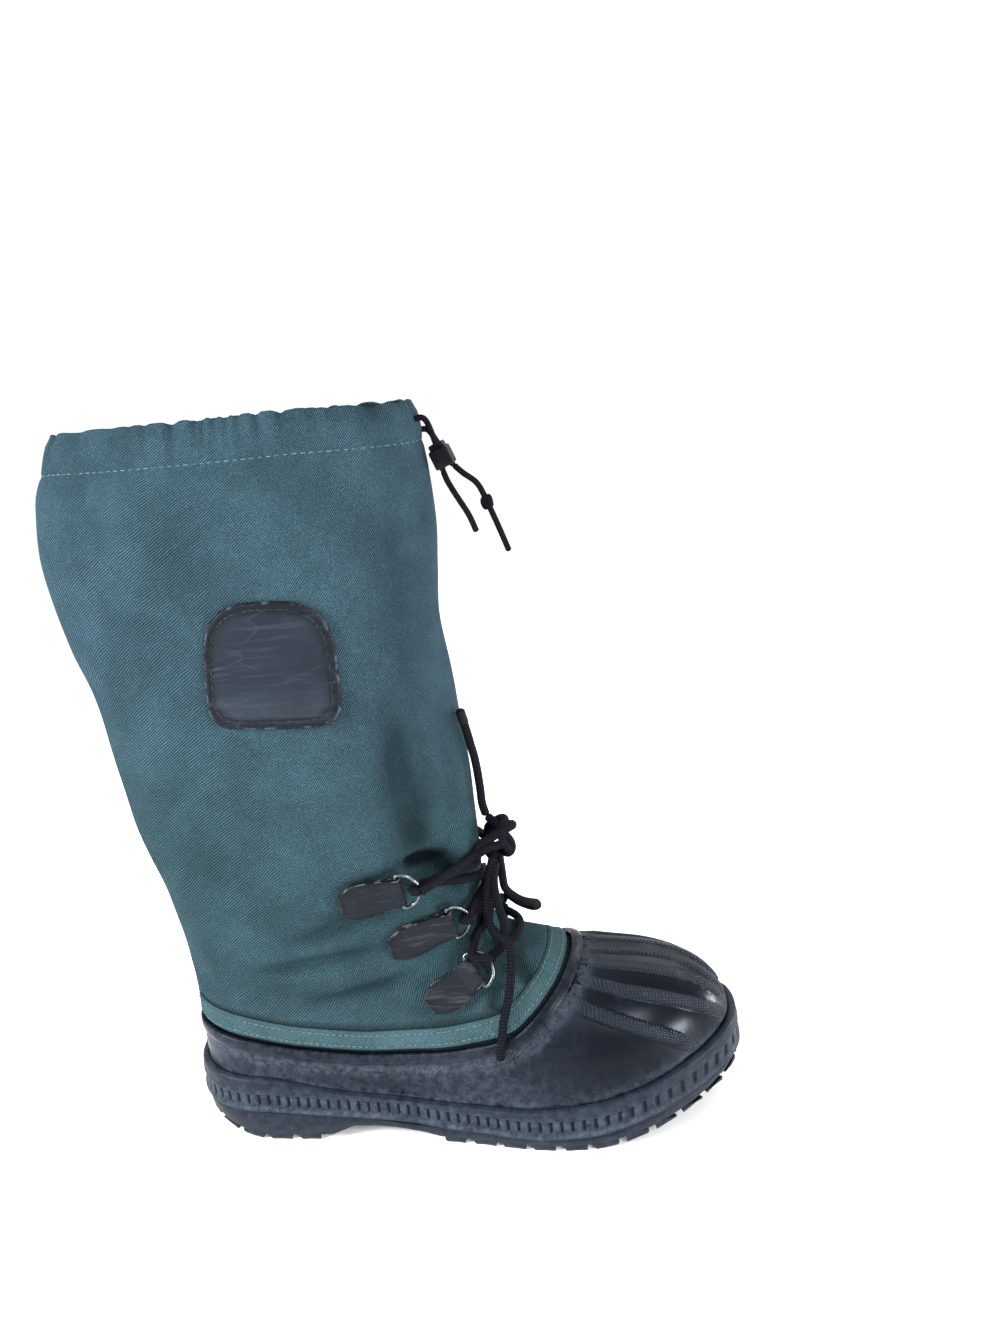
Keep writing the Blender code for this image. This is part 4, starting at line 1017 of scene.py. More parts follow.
TWILL = twill_look(
    "shaft_twill", (0.0110, 0.0215, 0.0275), (0.0445, 0.0915, 0.1210), (0.90, 0.94, 0.88), 0.0014, 0.0008
)
LINING = twill_look(
    "shaft_lining", (0.004, 0.008, 0.011), (0.012, 0.020, 0.027), (1.0, 1.0, 1.0), 0.0016, 0.0004
)
TAPE = twill_look(
    "trim_tape", (0.0180, 0.0385, 0.0455), (0.0600, 0.1180, 0.1380), (1.0, 1.0, 1.0), 0.0012, 0.0006
)
SHELL_RUBBER = rubber_look("shell_rubber", (0.0018, 0.0025, 0.0046), 0.21, (0.050, 0.061, 0.084), 0.0021)
SOLE_RUBBER = rubber_look("sole_rubber", (0.0044, 0.0062, 0.0098), 0.38, (0.060, 0.077, 0.104), 0.0021)
PATCH_LEATHER = leather_look(
    "patch_leather", (0.0028, 0.0034, 0.0046), (0.0085, 0.0120, 0.0185), (0.032, 0.040, 0.052), 40.0, 0.13, 0.46
)
TAB_LEATHER = leather_look(
    "tab_leather", (0.0026, 0.0028, 0.0040), (0.0052, 0.0060, 0.0086), (0.075, 0.075, 0.077), 110.0, 0.06, 0.0
)
LACE_BRAID = braid_look(
    "lace_braid", math.pi * LACE, 6.0, 0.0034, (0.0014, 0.0015, 0.0028), (0.0125, 0.0132, 0.0205)
)
CORD_BRAID = braid_look(
    "cord_braid", math.pi * CORD, 5.0, 0.0026, (0.0014, 0.0015, 0.0025), (0.0105, 0.0110, 0.0165)
)
RING_WIRE = wire_look()
HEM_THREAD = thread_look("hem_thread", (0.030, 0.062, 0.076), (0.095, 0.150, 0.165))
TAPE_THREAD = thread_look("tape_thread", (0.030, 0.066, 0.064), (0.095, 0.140, 0.130))
DARK_THREAD = thread_look("dark_thread", (0.0070, 0.0070, 0.0085), (0.0340, 0.0340, 0.0380))
LOCK_PLASTIC = plastic_look()
FELT = felt_look()


# Shaft: the fabric, its creases and its gathered hem

# Soft creases, in metres in the side view: a trough or, with a negative depth, a ridge, fading at both ends
CREASES = Table(
    "row from_x from_z to_x to_z side depth width",
    (0, 0.143, 0.245, 0.147, 0.154, -1, 0.0034, 0.0074),
    (19, 0.139, 0.161, 0.161, 0.155, -1, 0.0060, 0.0042),
    (26, 0.150, 0.164, 0.147, 0.184, -1, 0.0040, 0.0046),
    (27, 0.152, 0.160, 0.168, 0.136, -1, 0.0044, 0.0038),
    (1, 0.140, 0.170, 0.128, 0.215, -1, -0.0012, 0.0140),
    (2, 0.166, 0.150, 0.168, 0.215, -1, -0.0016, 0.0090),
    (3, 0.112, 0.150, 0.142, 0.160, -1, 0.0018, 0.0042),
    (4, 0.092, 0.136, 0.128, 0.131, -1, 0.0015, 0.0046),
    (20, 0.080, 0.118, 0.120, 0.126, -1, -0.0014, 0.0055),
    (21, 0.176, 0.118, 0.196, 0.100, -1, 0.0020, 0.0040),
    (22, 0.168, 0.100, 0.186, 0.090, -1, 0.0016, 0.0038),
    (5, 0.072, 0.079, 0.136, 0.097, -1, 0.0023, 0.0036),
    (23, 0.180, 0.088, 0.174, 0.060, -1, 0.0026, 0.0028),
    (24, 0.182, 0.103, 0.209, 0.073, -1, 0.0028, 0.0030),
    (25, 0.194, 0.105, 0.214, 0.084, -1, -0.0018, 0.0048),
    (6, 0.055, 0.102, 0.125, 0.098, -1, -0.0016, 0.0060),
    (7, 0.050, 0.104, 0.126, 0.116, -1, 0.0025, 0.0036),
    (8, 0.128, 0.076, 0.160, 0.070, -1, 0.0008, 0.0045),
    (9, 0.165, 0.076, 0.192, 0.088, -1, -0.0008, 0.0050),
    (10, 0.076, 0.122, 0.132, 0.140, -1, 0.0023, 0.0038),
    (11, -0.012, 0.200, 0.060, 0.160, -1, 0.0008, 0.0120),
    (12, 0.060, 0.350, 0.040, 0.300, -1, 0.0007, 0.0150),
    (13, 0.150, 0.340, 0.154, 0.250, -1, 0.0008, 0.0140),
    (14, 0.150, 0.186, 0.144, 0.148, 1, 0.0022, 0.0070),
    (15, 0.060, 0.100, 0.130, 0.092, 1, 0.0014, 0.0070),
    (16, 0.110, 0.120, 0.150, 0.128, 1, 0.0012, 0.0050),
    (17, 0.020, 0.125, 0.090, 0.118, 1, -0.0010, 0.0100),
    (18, 0.080, 0.330, 0.110, 0.250, 1, 0.0009, 0.0160),
)
# The deepest crease, whose painted shade is darkest, near black
DEEPEST = 0.0060
GATHERS = 46
ROLL = 0.0016
# How much higher the collar stands towards the camera's side of the heel, in metres
COLLAR_LIFT = 0.0042


def near_line(points, start, end):
    """How far points of the side view are from a line, and how far along it they are."""
    way = end - start
    t = unit(((points - start) @ way) / (way @ way))
    return np.linalg.norm(points - start - t[:, None] * way, axis=1), t


def creased(points):
    """Points of the shaft moved in and out by the creases, and how deep each lies in one, as painted shade."""
    normal = field_normal(points)
    move = np.zeros(len(points))
    shade = np.zeros(len(points))
    flat = points[:, [0, 2]]
    for spec in CREASES.named():
        start = np.array([spec["from_x"], spec["from_z"]])
        end = np.array([spec["to_x"], spec["to_z"]])
        distance, t = near_line(flat, start, end)
        fade = np.sin(np.clip(t, 0.04, 0.96) * math.pi) ** 0.6
        on_side = unit(0.5 + spec["side"] * points[:, 1] / 0.012)
        share = bell(distance, spec["width"]) * fade * on_side
        move -= spec["depth"] * share
        if spec["depth"] > 0:
            shade = np.maximum(shade, unit(1.45 * share) * spec["depth"] / DEEPEST)
    return points + normal * move[:, None], shade


def wobble(points, size, amount, seed):
    """A slow, even unevenness in metres, from a few sines with set directions."""
    rng = np.random.default_rng(seed)
    total = np.zeros(len(points))
    for _ in range(7):
        direction = normed(rng.normal(size=3))
        pace = size * rng.uniform(0.7, 1.5)
        total += np.sin(points @ direction * 2 * math.pi / pace + rng.uniform(0, 6.28))
    return total * amount / 2.6


def shaft_grid():
    rim = ring(rim_height, SHAFT_COLUMNS)
    depth = SHELL_WALL + TUCK_GAP
    rows = [lift(walk(rim, -TUCK), -depth), lift(rim, -depth)]
    low, high = tape_edges(SHAFT_COLUMNS)
    rows += [lift(low, -TAPE_INSET), lift(low * 0.5 + high * 0.5, -TAPE_INSET), lift(high, -TAPE_INSET)]
    hem = 1 - HEM_WIDTH / (BOOT_HEIGHT - 0.5 * INSTEP_HEIGHT)
    first = 0.055
    low_part, high_part = np.linspace(first, 0.42, 86), np.linspace(0.425, hem, 52)
    steps = np.concatenate([low_part, high_part, np.linspace(hem + 0.003, 1.0, 12)])
    outer = []
    for step in steps:
        outer.append(ring(between(rim_height, collar_line, step), SHAFT_COLUMNS))
    return rows, outer, steps, hem


def tape_edges(columns):
    rim = ring(rim_height, columns)
    return walk(rim, TAPE_RISE), walk(rim, TAPE_RISE + TAPE_WIDTH)


def gathers(points):
    """How far the drawcord's gathers pull the hem in: narrow valleys of uneven depth and reach."""
    rng = np.random.default_rng(11)
    share = np.arctan2(points[:, 1], points[:, 0] - 0.085) / (2 * math.pi) % 1.0
    down = BOOT_HEIGHT - points[:, 2]
    pull = np.zeros(len(points))
    for number in range(GATHERS):
        centre = (number + rng.uniform(-0.38, 0.38)) / GATHERS
        width = rng.uniform(0.0034, 0.0085)
        depth = rng.choice([0.0005, 0.0009, 0.0015, 0.0020])
        reach = rng.uniform(0.010, 0.034)
        lean = rng.uniform(-0.25, 0.25)
        away = (share - centre - lean * down + 0.5) % 1.0 - 0.5
        fade = unit(1 - down / reach) ** 1.3
        pull = pull + depth * bell(away, width) * fade
    return pull


def stood(points):
    """The same points where the collar stands a little higher, on the side with the patch."""
    near = unit(0.5 - points[:, 1] / 0.05) * unit((0.176 - points[:, 0]) / 0.060)
    top = unit((points[:, 2] - 0.300) / (BOOT_HEIGHT - 0.300))
    return points + np.stack([0 * near, 0 * near, COLLAR_LIFT * near * top], -1)


def build_shaft():
    hidden, outer, steps, hem = shaft_grid()
    count = SHAFT_COLUMNS
    line = np.vstack(outer)
    step = np.repeat(steps, count)
    line, shade = creased(line)
    normal = field_normal(line)
    calm = unit((step - steps[0]) / 0.05)
    push = wobble(line, 0.060, 0.0004, 4) * calm
    pull = gathers(line)
    up = unit((step - hem) / (1 - hem))
    push = push + HEM_PROUD * np.sin(np.minimum(up / 0.5, 1) * math.pi / 2) - pull
    push = push - 0.0012 * unit(up - 0.75) / 0.25 - 0.0005 * (np.abs(step - hem) < 0.002)
    line = line + normal * push[:, None]
    # Painted shade in the valleys of the gathers.
    shade = np.maximum(shade, unit(pull / 0.0020) * 0.35)
    rows = line.reshape(len(steps), count, 3)
    top = rows[-1]
    inward = field_normal(outer[-1])
    inward[:, 2] = 0
    inward = normed(inward)
    rise = np.array([0, 0, 1.0]) * (0.0016 - 0.9 * pull[-count:, None])
    turns = ((0.35, 0.8), (1.0, 1.0), (1.7, 0.6))
    roll = [top - inward * ROLL * share + rise * high for share, high in turns]
    near_top = [0.985, 0.96, 0.93, 0.90, 0.86]
    inner_steps = np.concatenate([near_top, np.linspace(0.82, 0.58, 8), np.linspace(0.55, 0.06, 44)])
    inner = [ring(between(rim_height, collar_line, step), count) for step in inner_steps]
    flat, _ = creased(np.vstack(inner))
    moved = wobble(flat, 0.060, 0.0004, 4) - gathers(flat) - SHAFT_WALL
    flat = flat + field_normal(flat) * moved[:, None]
    inner = list(flat.reshape(len(inner), count, 3))
    inner += [lift(line, -SHAFT_WALL - 0.0002) for line in hidden[::-1]]
    grid = np.array(hidden + list(rows) + roll + inner)
    grid = stood(grid.reshape(-1, 3)).reshape(grid.shape)
    shaft = closed_grid("shaft_cloth", grid, TWILL)
    shaft.data.materials.append(LINING)
    outside = len(hidden) + len(rows) + 2
    which = np.zeros(len(shaft.data.polygons), np.int32)
    which[outside * count:] = 1
    shaft.data.polygons.foreach_set("material_index", which)
    # The fold mask: painted shade in the creases and gathers, and a dark seam line above the tape.
    fold = np.zeros(grid.shape[:2])
    fold[len(hidden):len(hidden) + len(rows)] = shade.reshape(len(steps), count)
    flat = grid.reshape(-1, 3)
    distance_above = flat[:, 2] - rim_height(flat[:, 0]) - 0.013
    seam = bell(unit(distance_above), 0.0016)
    fold = unit(np.maximum(fold.ravel(), 0.65 * seam))
    masks(shaft, fold=fold, dust=0.30 * np.exp(-unit(distance_above) / 0.010))
    ride_as(shaft, "shaft")
    hem_line = stood(rows[int(np.argmin(np.abs(steps - hem)))])
    thread = stitches("hem_stitches", hem_line, field_normal(hem_line), 0.0040, 0.0026, 0.00026, HEM_THREAD)
    ride_only(thread)


def ride_as(piece, *nodes):
    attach(piece, "root")
    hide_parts(*nodes)


def ride_only(piece):
    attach(piece, "root")


def build_tape():
    low, high = tape_edges(SHAFT_COLUMNS + 80)
    lie = GAP - TAPE_INSET
    outer = []
    for t in np.linspace(0, 1, 11):
        line = settle(low * (1 - t) + high * t, 0.0)
        edge = min(t, 1 - t) * 10
        swell = 0.35 + 0.65 * min(edge / 1.2, 1.0) ** 0.5
        groove = -0.00025 * (bell(t - 0.20, 0.05) + bell(t - 0.80, 0.05))
        outer.append(lift(line, lie + TAPE_THICKNESS * swell + groove + 0.0003))
    inner = [lift(settle(high, 0.0), lie), lift(settle(low, 0.0), lie)]
    tape = closed_grid("shaft_tape", np.array(outer + inner), TAPE)
    masks(tape, fold=0, dust=0.25)
    ride_as(tape, "trim_tape")
    for name, t in (("tape_stitches_low", 0.22), ("tape_stitches_high", 0.80)):
        line = settle(low * (1 - t) + high * t, 0.0)
        line = lift(line, lie + TAPE_THICKNESS + 0.0003)
        thread = stitches(name, line, field_normal(line), 0.0034, 0.0024, 0.00030, TAPE_THREAD)
        ride_only(thread)


# Rubber lower



def ridge_lines(longer=0.0):
    """The middles of the toe's ridges; a longer line runs on past both ends by that share."""
    lines = []
    for spec in RIDGES.named():
        reach = spec["reach"] - RIDGE_START
        t = np.sin(np.linspace(-longer, 1, 60) * math.pi / 2)
        t = np.where(t > 0, t * (1 + longer), t)
        share = np.minimum(RIDGE_START + reach * t, 0.996)
        across = spec["start"] + (spec["end"] - spec["start"]) * t
        x = HEEL_OVERHANG + share * LAST_LENGTH
        ends = round_end((share - 1 + TOE_ROUND) / TOE_ROUND, TOE_SQUARENESS)
        half = np.where(across < 0, PLAN.at("lateral", share), PLAN.at("medial", share))
        half = half * LAST_WIDTH * ends
        lines.append(drop(x, foot_middle(x) + np.clip(across, -0.985, 0.985) * half))
    return lines


def drop(x, y):
    """The top of the surface over a place of the plan."""
    low = np.full(np.shape(x), FOXING_HEIGHT)
    high = np.full(np.shape(x), INSTEP_HEIGHT)
    return np.stack([x, y, edge_of(lambda z: boot_field(x, y, z) > 0, low, high, 30)], -1)


def line_distance(points, line):
    """Distance of points to a line of short pieces, and the share along it of the nearest place."""
    best = np.full(len(points), 1.0)
    where = np.zeros(len(points))
    for k in range(len(line) - 1):
        way = line[k + 1] - line[k]
        t = unit(((points - line[k]) @ way) / (way @ way))
        distance = np.linalg.norm(points - line[k] - t[:, None] * way, axis=1)
        nearer = distance < best
        best = np.where(nearer, distance, best)
        where = np.where(nearer, (k + t) / (len(line) - 1), where)
    return best, where


def build_shell():
    rim = ring(rim_height, SHELL_COLUMNS)
    steps = np.concatenate([np.linspace(0.0, 0.9, 92), [0.92, 0.94, 0.955]])
    rows = [ring(seam_seat, SHELL_COLUMNS)]
    rows += [ring(between(foxing_top, rim_height, step), SHELL_COLUMNS) for step in steps]
    bead_profile = (
        (0.0105, 0.0), (0.0090, 0.0), (0.0075, 0.0), (0.0062, 0.05), (0.0054, 0.75), (0.0044, 1.05),
        (0.0028, 1.1), (0.0014, 1.05), (0.0006, 0.9), (0.0, 0.5), (0.0, 0.15),
    )
    keep = [rows[0]]
    lowest = walk(rim, -0.0115)
    for line in rows[1:]:
        keep.append(np.column_stack([line[:, :2], np.minimum(line[:, 2], lowest[:, 2])]))
    flat_rows = settle(np.vstack(keep[1:]), 0.0).reshape(len(keep) - 1, SHELL_COLUMNS, 3)
    outer = [rows[0], *flat_rows] + [lift(walk(rim, -d) if d else rim, RIM_BEAD * h) for d, h in bead_profile]
    outer = np.array(outer)
    flat = outer.reshape(-1, 3)
    normal = field_normal(flat)
    raised = np.zeros(len(flat))
    fore = flat[:, 0] > 0.205
    for line in ridge_lines():
        distance, share = line_distance(flat[fore], line)
        length = route_length(line)
        reach = np.minimum(share * length + 0.0015, (1 - share) * length + 0.0035)
        ends = eased(unit(reach / 0.0045))
        side = eased(unit((RIDGE_WIDTH / 2 + 0.0003 - distance) / 0.0011))
        raised[fore] = np.maximum(raised[fore], side * ends)
    texture = np.zeros(len(flat))
    for line in ridge_lines(longer=0.16):
        distance, _ = line_distance(flat[fore], line)
        cover = unit((RIDGE_WIDTH / 2 + 0.0004 - distance) / 0.0007)
        texture[fore] = np.maximum(texture[fore], cover)
    flat = flat + normal * (raised * RIDGE_HEIGHT)[:, None]
    from_rim = np.full(len(flat), 1.0)
    sampled = rim[::4]
    for start in range(0, len(flat), 20000):
        chunk = flat[start:start + 20000]
        gap = np.linalg.norm(chunk[:, None, :] - sampled[None], axis=2)
        from_rim[start:start + 20000] = gap.min(axis=1)
    band = unit((from_rim - 0.0064) / 0.0008) * unit((0.0135 - from_rim) / 0.0014)
    band *= np.clip(0.2 + (flat[:, 0] - 0.10) / 0.10, 0.0, 1.0)
    flat = flat + normal * (band * 0.00018)[:, None]
    above_bead = unit((from_rim - 0.0064) / 0.0008)
    knurl = unit(np.maximum(texture * above_bead, band))
    above = flat[:, 2] - foxing_top(flat[:, 0])
    flare = unit(above / 0.0015) * np.exp(-unit(above) / 0.0042)
    flat = flat + normal * (flare * unit((flat[:, 0] - 0.16) / 0.06) * 0.0013)[:, None]
    dust = 0.80 * np.exp(-unit(above) / 0.0035)
    dust += 0.75 * bell(from_rim - 0.0098, 0.0036)
    dust += 0.35 * bell(from_rim, 0.0018)
    heel_dust = bell(flat[:, 0], 0.022)
    scuffed = bell(flat[:, 0] - 0.165, 0.034) * bell(flat[:, 2] - 0.036, 0.016) * (flat[:, 1] < 0)
    sides = unit(1.1 - 1.7 * np.abs(normal[:, 2]))
    back_part = np.clip((0.245 - flat[:, 0]) / 0.06, 0.15, 1)
    dust += 0.20 * heel_dust + 0.30 * scuffed + 0.10 * texture + 0.17 * sides * back_part
    outer = flat.reshape(outer.shape)
    tuck = walk(rim, -TUCK)
    low = [ring(between(foxing_top, rim_height, step), SHELL_COLUMNS) for step in (0.68, 0.45)]
    seats = [rim, tuck, settle(tuck * 0.6 + low[0] * 0.4, 0.0), *low, ring(foxing_top, SHELL_COLUMNS)]
    inner = [lift(line, -SHELL_WALL) for line in seats]
    inner.append(at_height(lift(ring(seam_seat, SHELL_COLUMNS), -SHELL_WALL), seam_seat))
    grid = np.concatenate([outer, np.array(inner)])
    shell = closed_grid("rubber_shell", grid, SHELL_RUBBER)
    spare = np.zeros(len(inner) * SHELL_COLUMNS)
    dust = np.concatenate([unit(dust), spare])
    masks(shell, dust=dust, knurl=np.concatenate([knurl, spare]), pit=0)
    ride_as(shell, "shell")


def seam_seat(x):
    return seam_height(x) + GAP


# Foxing and sole

# Depth of the groove along one rib, and then the band's section: height, how far out, depth cut
RIB_WAVE = (
    (0.0, 0.0), (0.12, 0.0), (0.50, 0.0), (0.62, 0.10), (0.68, 0.85),
    (0.74, 1.0), (0.86, 1.0), (0.92, 0.85), (0.97, 0.10),
)
FOXING_PROFILE = (
    (0.0003, -0.0010, 0.0), (0.0008, 0.0002, 0.0), (0.0016, 0.0009, 0.0), (0.0030, 0.0009, 0.0),
    (0.0038, 0.0003, 0.0), (0.0044, 0.0, 0.0), (0.0048, 0.0, 0.15), (0.0053, 0.0, 1.0),
    (0.0064, 0.0, 1.1), (0.0090, 0.0, 1.1), (0.0106, 0.0, 1.1), (0.0112, 0.0, 1.0),
    (0.0117, 0.0002, 0.1), (0.0124, 0.0004, 0.0), (0.0131, 0.0004, 0.0), (0.0138, 0.0, 0.0),
)


def build_foxing():
    base = ring(seam_seat, FOXING_COLUMNS)
    loop = np.vstack([base, base[:1]])
    run = run_of(loop)
    shares = []
    depths = []
    at = 0.0
    total = run[-1]
    while at < total - RIB_PITCH * 0.7:
        x = np.interp(at, run, loop[:, 0])
        toe = float(unit((along(x) - 0.70) / 0.2))
        pitch = RIB_PITCH + (RIB_PITCH_TOE - RIB_PITCH) * toe
        for part, depth in RIB_WAVE:
            shares.append((at + pitch * part) / total)
            depths.append(depth)
        at += pitch
    shares = np.array(shares) / max(1.0, at / total)
    depths = np.array(depths)
    fine = spread(base, shares)
    rows = []
    groove = []
    for above, out, cut in FOXING_PROFILE:
        line = grow(fine, FOXING_OVERHANG + out - RIB_GROOVE * cut * depths)
        rows.append(at_height(line, lambda x: seam_height(x) + above))
        groove.append(cut * depths)
    inner_top = grow(spread(ring(foxing_top, FOXING_COLUMNS), shares), GAP)
    crown = max(p[0] for p in FOXING_PROFILE)
    for t, inset in ((0.35, 0.0001), (0.7, 0.0004), (0.88, 0.0010), (0.97, 0.0019), (1.0, 0.0030)):
        line = grow(fine, FOXING_OVERHANG - inset)
        if t > 0.95:
            line = line * (1 - (t - 0.95) * 6) + inner_top * (t - 0.95) * 6
        low = seam_height(line[:, 0]) + crown
        top = foxing_top(line[:, 0])
        rows.append(np.column_stack([line[:, :2], low + (top - low) * t]))
        groove.append(np.zeros(len(line)))
    rows.append(inner_top)
    # The top edge against the shell gets painted shade, as a groove does.
    groove.append(np.full(len(inner_top), 0.7))
    rows.append(lift(fine, GAP))
    groove.append(np.zeros(len(inner_top)))
    grid = np.array(rows)
    foxing = closed_grid("foxing_band", grid, SOLE_RUBBER)
    groove = np.array(groove)
    above = grid[:, :, 2] - seam_height(grid[:, :, 0])
    # Painted highlight on the rib tops and on the ledge below them, over an even dust; weaker towards the toe.
    dust = 0.44 * bell(above - 0.0088, 0.0042) * (1 - groove) + 0.60 * bell(above - 0.0030, 0.0012) + 0.26
    dust = dust * np.clip((0.33 - grid[:, :, 0]) / 0.10, 0.55, 1)
    # Painted shade in the rib grooves, along the top edge against the shell and in a notch at the back of the
    # heel.
    notch_shade = bell(grid[:, :, 1] + 0.0225, 0.0022) * bell(above - 0.0120, 0.0036) * (grid[:, :, 0] < 0.02)
    pit = np.maximum(0.30 * groove, notch_shade)
    masks(foxing, dust=unit(dust), knurl=0, pit=unit(pit))
    ride_as(foxing, "foxing")


def build_outsole():
    """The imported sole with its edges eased."""
    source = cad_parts["outsole"]
    mesh = source.data.copy()
    shape = bmesh.new()
    shape.from_mesh(mesh)
    bmesh.ops.remove_doubles(shape, verts=shape.verts, dist=0.00002)
    bmesh.ops.dissolve_limit(shape, angle_limit=math.radians(4), verts=shape.verts, edges=shape.edges)
    shape.to_mesh(mesh)
    shape.free()
    mesh.name = "outsole_tread"
    mesh.materials.clear()
    mesh.materials.append(SOLE_RUBBER)
    sole = linked("outsole_tread", mesh)
    bevel = sole.modifiers.new("eased", "BEVEL")
    bevel.width = 0.0005
    bevel.segments = 2
    bevel.angle_limit = math.radians(28)
    bpy.context.view_layer.objects.active = sole
    sole.select_set(True)
    bpy.ops.object.modifier_apply(modifier="eased")
    bpy.ops.object.shade_smooth_by_angle(angle=math.radians(35))
    heights = np.array([v.co[2] for v in sole.data.vertices])
    masks(sole, dust=unit(0.18 + 0.20 * np.exp(-heights / 0.004)), knurl=0, pit=0)
    ride_as(sole, "outsole")


def build_insole():
    base = grow(lift(ring(seam_seat, INSOLE_COLUMNS), -SHELL_WALL), -GAP * 2)
    middle = np.column_stack([base[:, 0], foot_middle(base[:, 0])])
    rows = []
    for inset, share in ((0.0, 0.0), (0.0, 0.75), (0.0006, 1), (0.0030, 1)):
        height = INSOLE_THICKNESS * share
        rows.append(at_height(grow(base, -inset), lambda x: seam_height(x) + GAP + height))
    for share in (0.85, 0.65, 0.45, 0.25, 0.08):
        plan = middle * (1 - share) + rows[3][:, :2] * share
        rows.append(np.column_stack([plan, seam_height(plan[:, 0]) + GAP + INSOLE_THICKNESS]))
    under = [at_height(grow(base, -0.004), lambda x: seam_height(x) + GAP)]
    insole = grid_object("felt_insole", np.array(under + rows), FELT)
    ride_as(insole, "insole")


# Patch, tabs and rings

def flank(x, z, side, height=0.0):
    """Points on one side of the boot over a place of the side view, lifted off the surface."""
    x, z = np.broadcast_arrays(np.asarray(x, float), np.asarray(z, float))
    low, high = np.zeros(x.shape), np.full(x.shape, 0.1)
    y = edge_of(lambda mid: boot_field(x, side * mid, z) > 0, low, high, 32)
    return lift(np.stack([x, side * y, z], -1), height)


def front(y, z, height):
    """Points on the front of the leg and instep at a place of the front view."""
    y, z = np.broadcast_arrays(np.asarray(y, float), np.asarray(z, float))
    low, high = np.full(y.shape, 0.10), np.full(y.shape, LENGTH)
    x = edge_of(lambda mid: boot_field(mid, y, z) > 0, low, high, 32)
    return lift(np.stack([x, y, z], -1), height)


def patch_outline(around, rough):
    angle = np.arange(around) / around * 2 * math.pi
    blend = np.clip(np.sin(angle) / 0.25, -1, 1) * 0.5 + 0.5
    square = 6.0 * (1 - blend) + 2.9 * blend
    reach = (np.abs(np.cos(angle)) ** square + np.abs(np.sin(angle)) ** square) ** (-1 / square)
    fray = 1 + rough * (np.sin(angle * 17 + 1) + 0.7 * np.sin(angle * 41 + 2) + 0.5 * np.sin(angle * 83))
    x = np.cos(angle) * reach * fray * PATCH_WIDTH / 2 * (1 - 0.05 * np.sin(angle))
    z = np.sin(angle) * reach * fray * PATCH_HEIGHT / 2
    turned_x = x * math.cos(PATCH_TILT) - z * math.sin(PATCH_TILT)
    turned_z = x * math.sin(PATCH_TILT) + z * math.cos(PATCH_TILT)
    return turned_x, turned_z


# Section of the patch from its edge inward: how far in, share of its thickness, wear
PATCH_EDGE = (
    (0.0, 0, 0), (-0.0001, 0.30, 1), (0.0002, 0.75, 1), (0.0007, 0.98, 1), (0.0016, 1.06, 0.9),
    (0.0028, 1.0, 0.3), (0.0034, 0.80, 0.25), (0.0040, 0.80, 0.2), (0.0048, 0.97, 0.35), (0.0060, 1.0, 0.15),
)


def build_patch():
    x, z = patch_outline(PATCH_COLUMNS, 0.0022)
    under = GAP * 2
    thick = PATCH_THICKNESS
    rings = []
    edge = []
    half = PATCH_WIDTH / 2
    profile = [(half * 0.6, 0, 0), *PATCH_EDGE]
    profile += [(d, 1.0 + 0.12 * math.sin(d * 260), 0.05) for d in np.linspace(0.0085, 0.0312, 14)]
    for inset, share, worn in profile:
        scale = 1 - inset / half
        rings.append(flank(PATCH_X + x * scale, PATCH_Z + z * scale, -1, under + thick * share))
        edge.append(np.full(PATCH_COLUMNS, worn))
    patch = grid_object("leather_patch", np.array(rings), PATCH_LEATHER)
    fill_ends(patch, PATCH_COLUMNS)
    masks(patch, edge=np.array(edge))
    ride_as(patch, "side_patch")
    scale = 1 - 0.0037 / half
    line = flank(PATCH_X + x * scale, PATCH_Z + z * scale, -1, under + thick * 0.86)
    thread = stitches("patch_stitches", line, field_normal(line), 0.0034, 0.0024, 0.00030, DARK_THREAD)
    ride_only(thread)


def tab_frame(row, side):
    """A tab's centre line on the surface, and the frame at its fold: along, across, outward."""
    spec = TABS.named()[row - 1]
    back = np.array([spec["back_x"] * LENGTH, spec["back_z"] * INSTEP_HEIGHT])
    fold = np.array([spec["fold_x"] * LENGTH, spec["fold_z"] * INSTEP_HEIGHT])
    share = np.linspace(0, 1, 41)[:, None]
    flat = back * (1 - share) + fold * share
    line = settle(flank(flat[:, 0], flat[:, 1], side), TAB_LIFT, smooth_field)
    ahead = normed(line[-1] - line[-4])
    out = field_normal(line[-1:])[0]
    out = normed(out - ahead * np.dot(out, ahead))
    across = np.cross(out, ahead)
    tries = [line[-1] + ahead * a + across * w * TAB_HALF for a in TAB_REACH for w in (-0.9, 0, 0.9)]
    sunk = TAB_LIFT - smooth_field(*np.array(tries).T).min()
    line = line + out * max(sunk, 0) * unit((share - 0.6) / 0.2)
    return line, ahead, across, out


